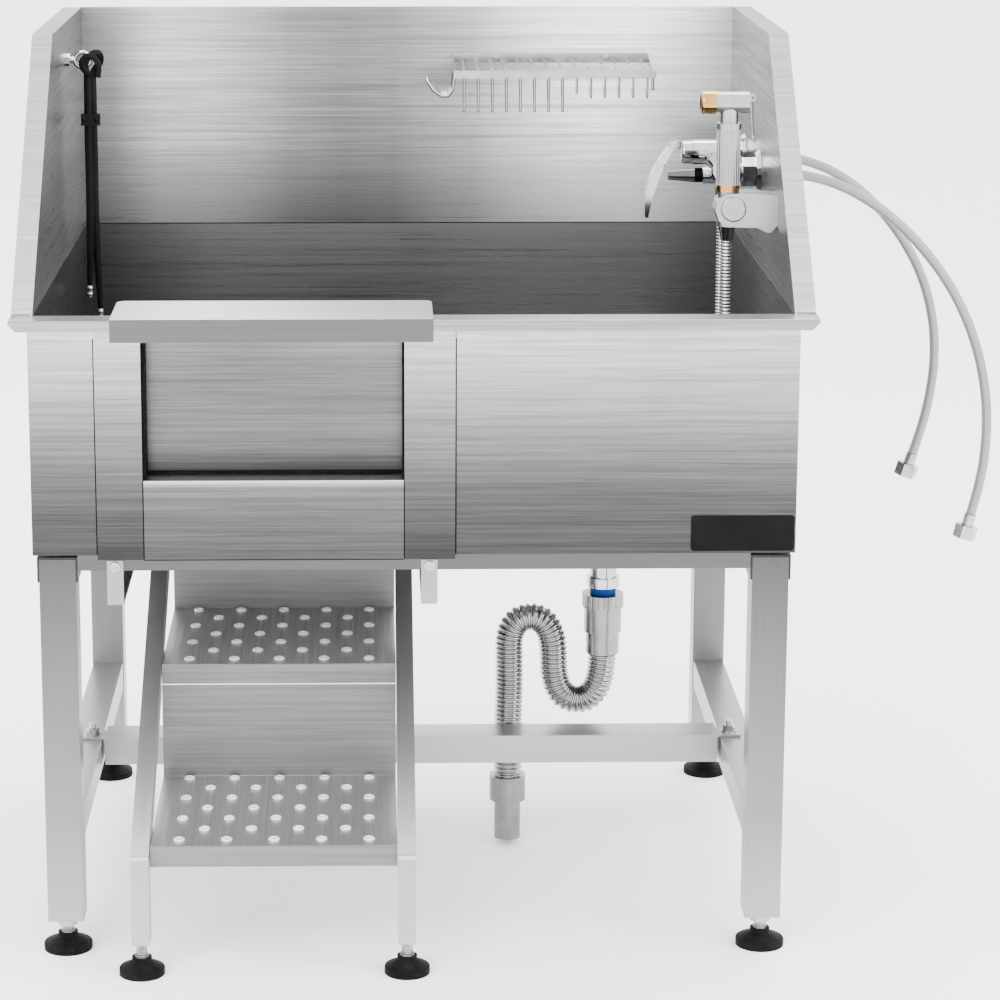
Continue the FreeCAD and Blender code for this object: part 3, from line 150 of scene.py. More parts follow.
class Finish:
    """A material with one Principled shader, and its two kinds of coordinates."""

    def __init__(self, name, metallic=0.0, **uniform):
        self.material = bpy.data.materials.new(name)
        self.material.use_nodes = True
        self.tree = self.material.node_tree
        self.shader = self.tree.nodes["Principled BSDF"]
        self.shader.inputs["Metallic"].default_value = metallic
        for socket, value in uniform.items():
            self.shader.inputs[socket.replace("_", " ")].default_value = value
        self.base = Socket(self.tree, None)
        place = self.tree.nodes.new("ShaderNodeTexCoord")
        self.object = Socket(self.tree, place.outputs["Object"])
        self.uv = Socket(self.tree, place.outputs["UV"])
        self.normal = Socket(self.tree, place.outputs["Normal"])

    def axes(self, vector):
        """The X, Y and Z of a vector as three numbers."""
        split = self.tree.nodes.new("ShaderNodeSeparateXYZ")
        self.tree.links.new(vector.link, split.inputs[0])
        return [Socket(self.tree, output) for output in split.outputs]

    def stretched(self, scale, vector=None):
        """Coordinates scaled differently along each axis."""
        return self.base.node("ShaderNodeMapping", {}, {"Vector": vector or self.object, "Scale": scale})

    def noise(self, vector, scale=1.0, detail=2.0, rough=0.5):
        """Soft random values between 0 and 1."""
        return self.base.node("ShaderNodeTexNoise", {}, {"Vector": vector, "Scale": scale,
                                                         "Detail": detail, "Roughness": rough})

    def set(self, socket, value):
        """Link a value to one of the shader's sockets."""
        self.tree.links.new(value.link, self.shader.inputs[socket])

    def bump(self, height, strength, distance):
        """Feed a height to the shader's normal."""
        self.set("Normal", self.base.node("ShaderNodeBump", {}, {"Height": height, "Strength": strength,
                                                                 "Distance": distance}))


print("shader helpers ready")

# %% [markdown]
# Brushed sheet steel is ground with a belt, which leaves long fine scratches along one
# direction. Noise that is stretched eighty times along the grain makes them. The
# grain runs across the front and back walls and from front to back on the side walls,
# so the material picks the direction from the side that a face looks to. The
# scratches change the colour and roughness a little, and a very low bump breaks up
# the reflections.
#
# Each sheet also has a painted tone, which changes slowly over it. This tone isn't part
# of the metal: it is painted reflection and painted shade. It stands in for the light and
# dark surroundings that real steel would mirror and that the even world here doesn't
# have, so it stays in its place when the light or the view changes.

# %% Brushed steel
GRAIN_LONG = 7.0
GRAIN_FINE = 560.0
FACING = 0.6
TUB_FOOT, TUB_RIM = 0.455, 0.722
WALL_FOOT, WALL_HEAD = 0.72, 0.99
BASIN_HALF, INNER_HALF = 0.42, 0.4095
FRONT_RIM, BACK_RIM, RIM_SKIN, RIM_DEPTH = 0.0325, 0.0095, 0.0005, 0.02


def painted_light_ramp(finish, axis, low, high, stops):
    """Painted light that changes along one axis: low and high are places in metres."""
    place = finish.axes(finish.object)["xyz".index(axis)]
    along = (place - low) / (high - low)
    return along.node("ShaderNodeValToRGB", {"ramp": stops}, {0: along})


def streaks(finish, direction, tilt=0.0):
    """Long scratches along an axis, in two sizes. tilt turns them about X."""
    scale = [GRAIN_FINE] * 3
    scale["xyz".index(direction)] = GRAIN_LONG
    place = finish.base.node("ShaderNodeMapping", {}, {"Vector": finish.object,
                                                       "Rotation": (tilt, 0, 0)})
    fine = finish.noise(finish.stretched(scale, place), 1.0, 3.0, 0.65)
    broad = finish.noise(finish.stretched([s * 0.3 for s in scale], place), 1.0, 2.0, 0.5)
    return fine * 0.62 + broad * 0.38


def brushed(name, tone, rough=(0.24, 0.40), along="walls", grain=1.0, tilt=0.0):
    """Ground steel. tone is the painted light: a number, or a function of the finish that
    gives one. along is walls, steps, x, y or z: the direction of the scratches."""
    finish = Finish(name, metallic=1.0)
    facing = finish.axes(finish.normal)
    if along == "walls":
        side = facing[0].math("ABSOLUTE") > FACING
        streak = side.mix(streaks(finish, "x"), streaks(finish, "y"))
    elif along == "steps":
        flat = facing[2].math("ABSOLUTE") > FACING
        streak = flat.mix(streaks(finish, "x"), streaks(finish, "y"))
    else:
        streak = streaks(finish, along, tilt)
    worn = finish.noise(finish.object, 5.0, 2.0, 0.5)
    shade = (streak - 0.5) * 3.0 * grain + (worn - 0.5) * 0.5 + 0.5
    shade = shade.step(-0.2, 1.2)
    # tone is painted light and shade, and it scales the brushed colour.
    level = tone(finish) if callable(tone) else tone
    finish.set("Base Color", (shade * (0.6 * grain) + (1 - 0.3 * grain)) * level)
    finish.set("Roughness", shade.mix(rough[1], rough[0]))
    finish.bump(streak, 0.08 * grain, 0.0004)
    return finish.material


def basin_painted_light(finish):
    """Painted highlight on the rim, and painted shade inside, where the walls face each other."""
    x, y, z = finish.axes(finish.object)
    low, high = (Vector(corner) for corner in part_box("tub_basin"))
    inner = (x.math("ABSOLUTE") < INNER_HALF) * (z < high.z - RIM_SKIN)
    inner = inner * (y > low.y + FRONT_RIM) * (y < high.y - BACK_RIM)
    side = finish.axes(finish.normal)[0].math("ABSOLUTE") > FACING
    outer = (z < high.z - RIM_DEPTH) * (1 - inner)
    stops = [(0, 0.13), (0.2, 0.25), (0.5, 0.2), (0.85, 0.24), (1, 0.15)]
    walls = painted_light_ramp(finish, "x", -BASIN_HALF, BASIN_HALF, stops)
    ends = painted_light_ramp(finish, "x", -BASIN_HALF, BASIN_HALF, [(0, 0.12), (1, 0.26)])
    return inner.mix(outer.mix(0.26, 0.12), side.mix(walls, ends))


def front_painted_light(finish):
    """Painted light under the rim, and painted shade that darkens towards the foot."""
    stops = [(0, 0.038), (0.25, 0.06), (0.5, 0.13), (0.8, 0.32), (1, 0.46)]
    return painted_light_ramp(finish, "z", TUB_FOOT, TUB_RIM, stops)


def back_painted_reflection(finish):
    """Two bright bands of painted reflection, with a grey one between them."""
    stops = [(0, 0.22), (0.12, 0.42), (0.2, 0.36), (0.32, 0.18), (0.4, 0.145), (0.48, 0.16), (0.6, 0.3),
             (0.74, 0.7), (0.85, 0.95), (1, 0.6)]
    return painted_light_ramp(finish, "x", -0.41, 0.41, stops)


def post_painted_light(finish):
    """Painted light at the top of the posts, and painted shade, much darker, at their foot."""
    return painted_light_ramp(finish, "z", TUB_FOOT, TUB_RIM, [(0, 0.026), (0.3, 0.075), (0.6, 0.17), (1, 0.42)])


def door_painted_light(finish):
    """Even, with a darker foot where the sill's ledge shades it."""
    return painted_light_ramp(finish, "z", 0.52, TUB_RIM, [(0, 0.02), (0.18, 0.05), (0.3, 0.10), (0.7, 0.11), (1, 0.2)])


def sill_painted_light(finish):
    """Painted highlight on the edge at the ledge, and a grey face."""
    return painted_light_ramp(finish, "z", TUB_FOOT, 0.545, [(0, 0.05), (0.5, 0.08), (0.9, 0.11), (1, 0.45)])


def leg_painted_light(finish):
    """Grey in the tub's painted shade, and painted light, bright, near the floor."""
    return painted_light_ramp(finish, "z", 0.03, 0.456, [(0, 0.34), (0.3, 0.2), (0.6, 0.14), (1, 0.07)])


def side_painted_light(finish):
    """Painted highlight on the narrow edge that looks forward, and painted light on the wall,
    bright at its foot and darkening upwards.
    """
    edge = finish.axes(finish.normal)[1].math("ABSOLUTE") > FACING
    wall = painted_light_ramp(finish, "z", WALL_FOOT, WALL_HEAD, [(0, 0.46), (0.35, 0.2), (1, 0.08)])
    return edge.mix(wall, painted_light_ramp(finish, "z", WALL_FOOT, WALL_HEAD, [(0, 0.42), (1, 0.3)]))


def cap_painted_light(finish):
    """Painted highlight on top, nearly white at the left and greyer to the right, and painted
    shade, dark grey, in front.
    """
    flat = finish.axes(finish.normal)[2].math("ABSOLUTE") > FACING
    return flat.mix(0.10, painted_light_ramp(finish, "x", -0.33, 0.02, [(0, 0.97), (0.5, 0.85), (1, 0.5)]))


def stringer_painted_light(finish):
    """Painted light above the first tread, and greyer at the short upright end."""
    return painted_light_ramp(finish, "z", 0.04, 0.43, [(0, 0.42), (0.24, 0.34), (0.26, 0.95), (0.6, 0.55), (1, 0.35)])


def tread_painted_light(finish):
    """Painted light on the treads' tops, and greyer lips and risers."""
    flat = finish.axes(finish.normal)[2].math("ABSOLUTE") > FACING
    return flat.mix(0.17, 0.42)


# Every tone below is painted light, the single numbers too: one brushed steel is made lighter or darker
# part by part, to stand in for the light and shade on it. Low numbers are painted shade, high ones painted
# light.
SHEET_STEEL = brushed("sheet_steel", 0.16)
BASIN_STEEL = brushed("basin_steel", basin_painted_light)
APRON_STEEL = brushed("apron_steel", front_painted_light)
BACK_STEEL = brushed("back_wall_steel", back_painted_reflection)
SIDE_STEEL = brushed("side_wall_steel", side_painted_light)
POST_STEEL = brushed("post_steel", post_painted_light)
DOOR_STEEL = brushed("door_steel", door_painted_light)
SILL_STEEL = brushed("sill_steel", sill_painted_light)
CAP_STEEL = brushed("cap_steel", cap_painted_light, grain=0.45)
TREAD_STEEL = brushed("tread_steel", tread_painted_light, (0.36, 0.5), "steps", 0.8)
LEG_STEEL = brushed("leg_steel", leg_painted_light, (0.28, 0.42), "z", 0.4)
RAIL_STEEL = brushed("rail_steel", 0.33, (0.28, 0.42), "x", 0.4)
TOP_RAIL_STEEL = brushed("top_rail_steel", 0.08, (0.28, 0.42), "x", 0.4)
TAB_STEEL = brushed("tab_steel", 0.26, (0.28, 0.42), "z", 0.4)
SIDE_RAIL_STEEL = brushed("side_rail_steel", 0.28, (0.28, 0.42), "y", 0.4)
STRINGER_STEEL = brushed("stringer_steel", stringer_painted_light, (0.28, 0.42), "y", 0.4, math.radians(-30))
# The leg sockets' near-black steel is painted shade in the dark gap round each leg's top.
SOCKET_SHADE_STEEL = brushed("socket_painted_shade_steel", 0.03, (0.35, 0.5), "walls", 0.5)
print("brushed steels ready")

# %% [markdown]
# The taps are plated. Chrome is a very smooth metal that only shows what it reflects,
# with a few faint smears. The spray's fittings are satin, its rings are polished
# brass, and the waste is plastic with a thin plated skin.

# %% Plated metals
def plated(name, colour, rough, smear=0.06, metallic=1.0):
    """Smooth metal with faint smears in its gloss."""
    finish = Finish(name, metallic=metallic)
    cloud = finish.noise(finish.object, 45.0, 3.0, 0.6)
    darker = tuple(c * 0.82 for c in colour) + (1,)
    finish.set("Base Color", cloud.step(0.3, 0.7).tint(darker, colour + (1,)))
    finish.set("Roughness", cloud.step(0.35, 0.75).mix(rough, rough + smear))
    fine = finish.noise(finish.object, 900.0, 2.0, 0.5)
    finish.bump(fine, 0.03, 0.0002)
    return finish.material


CHROME = plated("chrome", (0.46, 0.46, 0.47), 0.05)
DARK_CHROME = plated("dark_chrome", (0.10, 0.10, 0.105), 0.12)
SATIN = plated("satin_fitting", (0.36, 0.36, 0.365), 0.26, 0.10)
BRIGHT = plated("bright_steel", (0.40, 0.40, 0.40), 0.16, 0.10)
BRASS = plated("polished_brass", (0.50, 0.27, 0.09), 0.10, 0.08)
PLATED_PLASTIC = plated("plated_plastic", (0.24, 0.24, 0.25), 0.22, 0.10)
BELLOWS_PLASTIC = plated("bellows_plating", (0.34, 0.34, 0.35), 0.14, 0.08)
# The tread rims' near-white, half-metallic finish is a painted highlight.
RIM_HIGHLIGHT = plated("rim_painted_highlight", (0.85, 0.85, 0.85), 0.45, 0.05, 0.35)
print("plated metals ready")

# %% [markdown]
# The other parts are moulded rubber and plastic, soft leather, and the steel braid of
# the supply hoses. Each has its own fine relief: rubber is dull with dust in it,
# moulded plastic has a fine spark grain, leather has small creased cells, and the
# braid's strands cross.

# %% Rubber, plastic, leather and braid
WEAVE_AROUND, WEAVE_ALONG = 10, 130


def moulded(name, dark, light, rough, grain_scale, height):
    """Moulded plastic or rubber, with a fine grain and a little dust."""
    finish = Finish(name, Specular_IOR_Level=0.04)
    grain = finish.noise(finish.object, grain_scale, 3.0, 0.6)
    dust = finish.noise(finish.object, 22.0, 3.0, 0.6)
    finish.set("Base Color", dust.step(0.35, 0.75).tint(dark + (1,), light + (1,)))
    finish.set("Roughness", dust.mix(rough, rough + 0.15))
    finish.bump(grain, 0.35, height)
    return finish.material


def leather(name, dark, light):
    """Soft black leather with creased cells."""
    finish = Finish(name, Specular_IOR_Level=0.12)
    cells = finish.base.node("ShaderNodeTexVoronoi", {"feature": "DISTANCE_TO_EDGE"},
                             {"Vector": finish.object, "Scale": 900.0})
    crease = cells.step(0.0, 0.12)
    cloud = finish.noise(finish.object, 60.0, 2.0, 0.5)
    finish.set("Base Color", cloud.step(0.3, 0.8).tint(dark + (1,), light + (1,)))
    finish.set("Roughness", crease.mix(0.62, 0.42))
    finish.bump(crease, 0.3, 0.0002)
    return finish.material


def woven(name, dark, light):
    """Steel braid under a clear skin: bright strands that cross, with dark between."""
    finish = Finish(name, metallic=0.35, Coat_Weight=0.5)
    around, along, _ = finish.axes(finish.uv)
    turn = around * (2 * math.pi * WEAVE_AROUND)
    climb = along * (2 * math.pi * WEAVE_ALONG)
    weave = (turn + climb).math("SINE") * (turn - climb).math("SINE") * 0.5 + 0.5
    finish.set("Base Color", weave.step(0.1, 0.8).tint(dark + (1,), light + (1,)))
    finish.set("Roughness", weave.mix(0.5, 0.34))
    finish.bump(weave, 0.4, 0.0003)
    return finish.material


BRAID = woven("clear_braid", (0.10, 0.10, 0.105), (0.28, 0.28, 0.285))
BLACK_PLASTIC = moulded("black_plastic", (0.002, 0.002, 0.002), (0.005, 0.005, 0.005), 0.36, 1600.0, 0.0001)
BADGE_BLACK = moulded("badge_black", (0.003, 0.003, 0.003), (0.006, 0.006, 0.006), 0.28, 1400.0, 0.00005)
SEAL_RUBBER = moulded("seal_rubber", (0.002, 0.002, 0.002), (0.005, 0.005, 0.005), 0.6, 800.0, 0.0002)
BLUE_RUBBER = moulded("blue_seal_rubber", (0.005, 0.03, 0.16), (0.01, 0.05, 0.22), 0.45, 800.0, 0.0001)
NYLON = moulded("roller_nylon", (0.24, 0.24, 0.23), (0.30, 0.30, 0.29), 0.4, 900.0, 0.0001)
BLACK_LEATHER = leather("black_leather", (0.0015, 0.0015, 0.0015), (0.004, 0.004, 0.004))
print("moulded, leather and woven finishes ready")

# %% [markdown]
# A levelling foot is a rubber pad on a steel stud. Both are one node of the model, so
# its finish changes at the height where the rubber ends.

# %% Levelling feet
PAD_TOP = 0.0201
THREAD_PITCH = 0.00175


def foot_finish():
    """Rubber below the stud's shoulder, bright steel above it."""
    finish = Finish("foot_rubber_and_steel", Specular_IOR_Level=0.06)
    height = finish.axes(finish.object)[2]
    steel = height > PAD_TOP
    dust = finish.noise(finish.object, 60.0, 3.0, 0.6)
    rubber = dust.step(0.3, 0.8).tint((0.002, 0.002, 0.002, 1), (0.007, 0.007, 0.007, 1))
    metal = dust.step(0.3, 0.8).tint((0.22, 0.22, 0.22, 1), (0.4, 0.4, 0.4, 1))
    finish.set("Base Color", steel.tint(rubber, metal))
    finish.set("Metallic", steel * 1.0)
    finish.set("Roughness", steel.mix(0.62, 0.2))
    thread = (height * (2 * math.pi / THREAD_PITCH)).math("SINE") * steel
    grain = finish.noise(finish.object, 700.0, 2.0, 0.5)
    finish.bump(thread * 0.5 + grain * 0.2, 0.6, 0.0005)
    return finish.material


FOOT = foot_finish()
print("foot finish changes at", PAD_TOP)

# %% [markdown]
# The hoses and the lead's straps are cords, so each one is swept along its own line.
# The line is a smooth curve of degree two, shaped by control points in millimetres.
# It is read back as a chain of short edges, and cut again into even steps, so that a
# rib or a braid has the same pitch everywhere.

# %% Sweep a section along a line
MM = 0.001


def centre_line(route, step):
    """Evenly spaced points on the curve that the control points shape."""
    data = bpy.data.curves.new("guide", "CURVE")
    data.dimensions = "3D"
    data.resolution_u = 16
    spline = data.splines.new("NURBS")
    spline.points.add(len(route) - 1)
    for point, place in zip(spline.points, route):
        point.co = (*(c * MM for c in place), 1)
    spline.order_u = 3
    spline.use_endpoint_u = True
    guide = bpy.data.objects.new("guide", data)
    mesh = bpy.data.meshes.new_from_object(guide)
    rough = [vertex.co.copy() for vertex in mesh.vertices]
    bpy.data.objects.remove(guide)
    bpy.data.meshes.remove(mesh)
    run = [0.0]
    for a, b in zip(rough, rough[1:]):
        run.append(run[-1] + (b - a).length)
    count = round(run[-1] / step)
    line, edge = [], 0
    for i in range(count + 1):
        place = run[-1] * i / count
        while edge < len(rough) - 2 and run[edge + 1] < place:
            edge += 1
        share = (place - run[edge]) / (run[edge + 1] - run[edge])
        line.append(rough[edge].lerp(rough[edge + 1], share))
    return line, run[-1]


def sweep(name, line, section, across):
    """Closed tube along the line. section(i) gives the points of ring i as pairs:
    one along the across direction, which is carried along without twist, and one
    square to it."""
    corners, faces = [], []
    for i, place in enumerate(line):
        tangent = (line[min(i + 1, len(line) - 1)] - line[max(i - 1, 0)]).normalized()
        across = (across - tangent * across.dot(tangent)).normalized()
        up = tangent.cross(across)
        ring = section(i)
        corners += [place + across * u + up * v for u, v in ring]
    size, last = len(ring), len(line) - 1
    for i in range(last):
        for j in range(size):
            k = (j + 1) % size
            faces.append((i * size + j, i * size + k, (i + 1) * size + k, (i + 1) * size + j))
    faces.append(tuple(range(size - 1, -1, -1)))
    faces.append(tuple(range(last * size, last * size + size)))
    mesh = bpy.data.meshes.new(name)
    mesh.from_pydata(corners, [], faces)
    flat = mesh.uv_layers.new(name="around_and_along")
    for face in mesh.polygons[:last * size]:
        i, j = divmod(face.index, size)
        for loop, (di, dj) in zip(face.loop_indices, ((0, 0), (0, 1), (1, 1), (1, 0))):
            flat.data[loop].uv = ((j + dj) / size, (i + di) / last)
    for face in mesh.polygons:
        face.use_smooth = face.index < last * size
    piece = bpy.data.objects.new(name, mesh)
    bpy.context.scene.collection.objects.link(piece)
    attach(piece, "tub")
    return piece


def tube(name, route, step, radius, sides, across=(0, 1, 0)):
    """Round tube whose radius depends on the distance along it and on the angle."""
    line, length = centre_line(route, step)
    pace = length / (len(line) - 1)

    def section(i):
        turns = [2 * math.pi * j / sides for j in range(sides)]
        return [(radius(i * pace, t) * math.cos(t), radius(i * pace, t) * math.sin(t)) for t in turns]

    piece = sweep(name, line, section, Vector(across))
    return piece, line, length


print("cord tools ready")

# %% [markdown]
# The hand spray's hose is a chromed spiral. Its ribs are 3.9 mm apart with a narrow
# groove between them. It hangs from the handle, lies on the basin's floor and climbs
# to the mixer.

# %% Hand spray hose
SHOWER_ROUTE = [
    (354, -103, 774), (354, -103, 722), (355, -107, 668), (357, -112, 614), (361, -119, 566),
    (362, -133, 526), (353, -157, 500), (331, -186, 487), (296, -212, 485), (252, -226, 485),
    (203, -226, 485), (156, -210, 485), (120, -178, 485), (103, -134, 485), (112, -90, 485),
    (143, -56, 485), (188, -38, 485), (236, -33, 485), (282, -28, 486), (321, -8, 493),
    (346, 24, 511), (360, 60, 541), (368, 92, 581), (372, 115, 629), (374, 129, 682),
    (375, 136, 735), (375, 136, 784)]
RIB = 3.9 * MM


def ribs(pitch, radius, depth, sharp):
    """Radius of a ribbed hose. A higher sharp makes the groove narrower."""
    def at(place, turn):
        wave = 0.5 + 0.5 * math.cos(2 * math.pi * place / pitch)
        return radius - depth * wave ** sharp
    return at


hose, line, length = tube("shower_spiral", SHOWER_ROUTE, RIB / 6, ribs(RIB, 0.006, 0.0011, 2.5), 18)
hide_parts("shower_hose")
COVERS = {"ribbed": [hose]}
print(f"hand spray hose {length:.3f} m")

# %% [markdown]
# The two supply hoses leave the mixer's unions outside the right wall and hang down
# beside the tub. They are braided: strands cross each other at a steep angle.

# %% Supply hoses
SUPPLY_FRONT_ROUTE = [
    (432, 61, 828), (469, 61, 824), (512, 61, 810), (554, 60, 785), (592, 60, 752), (627, 59, 711),
    (656, 59, 663), (676, 58, 611), (687, 57, 557), (689, 57, 503), (683, 56, 452), (673, 56, 414)]
SUPPLY_REAR_ROUTE = [
    (432, 211, 828), (466, 211, 826), (505, 211, 815), (541, 211, 795), (575, 212, 765), (606, 213, 727),
    (632, 214, 681), (648, 215, 629), (653, 216, 575), (648, 217, 523), (638, 217, 480), (629, 217, 452)]
STRANDS = 16
LAY_LENGTH = 60 * MM


def braid(place, turn):
    """Radius over two sets of strands that wind opposite ways."""
    along = 2 * math.pi * place / LAY_LENGTH * STRANDS / 2
    return 0.0059 + 0.00008 * math.sin(STRANDS * turn + along) * math.sin(STRANDS * turn - along)


COVERS["braided"] = []
for side, route in (("front", SUPPLY_FRONT_ROUTE), ("rear", SUPPLY_REAR_ROUTE)):
    hose, line, length = tube("supply_braid_" + side, route, 1.6 * MM, braid, 40)
    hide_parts("supply_hose_" + side)
    COVERS["braided"].append(hose)
    print(f"{side} supply hose {length:.3f} m")

# %% [markdown]
# The waste hose is a corrugated tube that is bent into a trap: down, under, up and
# over, and down again to its collar.

# %% Waste hose
DRAIN_ROUTE = [(232, 60, 243), (232, 60, 183), (173, 60, 183), (173, 60, 287), (118, 60, 287),
               (120, 60, 212), (118, 60, 146), (118, 60, 88)]
CORRUGATION = 5.6 * MM
bellows = ribs(CORRUGATION, 0.0172, 0.0026, 1.0)
hose, line, length = tube("waste_bellows", DRAIN_ROUTE, CORRUGATION / 8, bellows, 32)
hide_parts("drain_hose")
COVERS["bellows"] = [hose]
print(f"waste hose {length:.3f} m")

# %% [markdown]
# The lead is one strap folded over the eye, so two strands hang from it. A strand is
# a flat band with rounded edges that twists a little on its way down.

# %% Lead straps
STRAP_LEFT_ROUTE = [(-383, 144.5, 938), (-384, 144.5, 860), (-383, 144.5, 770), (-386, 144.5, 681)]
STRAP_RIGHT_ROUTE = [(-378, 147.5, 938), (-377.5, 147.5, 850), (-378.5, 147.5, 752), (-374, 147.5, 652)]
STRAP_STEP = 3 * MM


def band(width, thick, twist):
    """Section of a strap: a rounded rectangle. twist(i) turns it about its line."""
    edge = [(-1, -0.5), (-0.94, -1), (0, -1.1), (0.94, -1), (1, -0.5), (1, 0.5), (0.94, 1), (0, 1.1),
            (-0.94, 1), (-1, 0.5)]

    def section(i):
        turn = twist(i)
        pairs = [(u * width(i) / 2, v * thick / 2) for u, v in edge]
        return [(u * math.cos(turn) - v * math.sin(turn), u * math.sin(turn) + v * math.cos(turn))
                for u, v in pairs]
    return section


COVERS["leather"] = []
for side, route in (("left", STRAP_LEFT_ROUTE), ("right", STRAP_RIGHT_ROUTE)):
    line, length = centre_line(route, STRAP_STEP)
    last = len(line) - 1
    twist = lambda i: 0.10 * math.sin(9 * i / last)
    width = lambda i: (9.4 - 3.2 * max(0, 2 * i / last - 1) ** 3) * MM
    strap = sweep("lead_strand_" + side, line, band(width, 1.8 * MM, twist), Vector((1, 0, 0)))
    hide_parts("lead_strap_" + side)
    COVERS["leather"].append(strap)
    print(f"{side} strand of the lead {length:.3f} m")

# %% [markdown]
# Each node gets the finish of its real piece. The node's mesh stays as it came.

# %% Finish every node
FINISHES = {
    BASIN_STEEL: ["tub_basin"],
    APRON_STEEL: ["front_aprons"],
    BACK_STEEL: ["back_splash"],
    SIDE_STEEL: ["left_splash", "right_splash"],
    POST_STEEL: ["door_posts"],
    DOOR_STEEL: ["door_panel", "door_inner_panel"],
    SILL_STEEL: ["door_sill"],
    CAP_STEEL: ["door_cap"],
    SHEET_STEEL: ["door_guides"],
    TREAD_STEEL: ["lower_step", "upper_step", "top_riser"],
    LEG_STEEL: ["legs"],
    RAIL_STEEL: ["cross_rail"],
    TOP_RAIL_STEEL: ["top_rails"],
    TAB_STEEL: ["guide_channels"],
    SIDE_RAIL_STEEL: ["lower_side_rails"],
    STRINGER_STEEL: ["ladder_stringer_left", "ladder_stringer_right"],
    SOCKET_SHADE_STEEL: ["leg_sockets"],
    CHROME: ["mixer_body", "mixer_unions", "lever_hub", "mixer_lever", "eye_bolt", "drain_body"],
    DARK_CHROME: ["tub_spout", "handset_trigger"],
    SATIN: ["handset_holder", "handset_handle", "handset_head"],
    BRIGHT: ["hex_bolts", "pan_screws", "hose_nut_front", "hose_nut_rear", "tool_rack", "lead_beads",
             "strainer_basket", "shower_hose", "supply_hose_front", "supply_hose_rear"],
    BRASS: ["handset_rings"],
    PLATED_PLASTIC: ["slip_nut", "tail_pipe", "drain_hose"],
    BLACK_PLASTIC: ["spout_collar"],
    BADGE_BLACK: ["badge"],
    BLUE_RUBBER: ["drain_seal"],
    NYLON: ["ladder_rollers"],
    BLACK_LEATHER: ["lead_strap_left", "lead_strap_right", "lead_slider"],
    FOOT: [name for name in nodes if name.startswith(("foot_", "ladder_foot_"))],
}


def wear(piece, material):
    """Give a piece one material."""
    piece.data.materials.clear()
    piece.data.materials.append(material)


for material, names in FINISHES.items():
    for name in names:
        wear(nodes[name], material)
CORD_FINISHES = {"ribbed": CHROME, "braided": BRAID, "bellows": BELLOWS_PLASTIC, "leather": BLACK_LEATHER}
for kind, pieces in COVERS.items():
    for piece in pieces:
        wear(piece, CORD_FINISHES[kind])
print("finished", sum(len(names) for names in FINISHES.values()), "of", len(nodes))

# %% [markdown]
# Small pieces that aren't in the CAD model: dark rubber strips in the door gap, the lowest
# of which is a painted shadow under the door, dark joint lines where two sheets meet, and
# the rims of the tread holes, whose near-white finish is a painted highlight. Each one
# starts as a primitive and is shaped in edit mode, in the frame's own coordinates.

# %% Modelling helpers
def shaped(name, body):
    """Leave edit mode, name the active piece and let it ride on a body."""
    bpy.ops.object.mode_set(mode="OBJECT")
    piece = bpy.context.object
    piece.name = name
    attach(piece, body)
    return piece


def strip(name, low, high, body="tub", round_by=0.3):
    """Long bar with rounded edges between two corners, in millimetres."""
    low, high = Vector(low) * MM, Vector(high) * MM
    bpy.ops.object.select_all(action="DESELECT")
    bpy.ops.mesh.primitive_cube_add(size=1)
    bpy.ops.object.mode_set(mode="EDIT")
    bpy.ops.mesh.select_all(action="SELECT")
    bpy.ops.transform.resize(value=high - low)
    bpy.ops.transform.translate(value=(low + high) / 2)
    bpy.ops.mesh.bevel(offset=round_by * MM, segments=2, affect="EDGES")
    return shaped(name, body)


def joined(name, pieces):
    """Join pieces that ride on the same body into the first one."""
    bpy.ops.object.select_all(action="DESELECT")
    for piece in pieces:
        piece.select_set(True)
    bpy.context.view_layer.objects.active = pieces[0]
    bpy.ops.object.join()
    pieces[0].name = name
    return pieces[0]


print("modelling helpers ready")

# %% [markdown]
# A dark rubber strip stands at each side of the door gap, between the frame and the door.
# A thinner black strip lies on the ledge under the door: it is a painted shadow at the
# door's foot.

# %% Door strips and painted shadow
GAP = (-293.0, -11.0)
FRAME_FACE, DOOR_FACE = -299.0, -264.5
LEDGE_TOP, CAP_UNDER = 544.0, 700.0
front, back = FRAME_FACE + 3, DOOR_FACE - 0.6
foot, head = LEDGE_TOP + 0.2, CAP_UNDER
DOOR_STRIPS = {"left": ((GAP[0] + 0.1, front, foot), (GAP[0] + 3.6, back, head)),
         "right": ((GAP[1] - 2.2, front, foot), (GAP[1] - 0.1, back, head)),
         # The foot strip is a painted shadow under the door.
         "foot": ((GAP[0] + 4, back - 4, foot), (GAP[1] - 2.6, back, foot + 3))}
seal = joined("door_strips_and_painted_shadow", [strip("seal_" + place, *corners, round_by=0.7)
                             for place, corners in DOOR_STRIPS.items()])
wear(seal, SEAL_RUBBER)
print("door seals", len(seal.data.polygons), "faces")

# %% [markdown]
# Where sheets meet, the joint shows as a fine dark line. Here it is a thin bead of
# sealant that stands a little proud of the sheet.

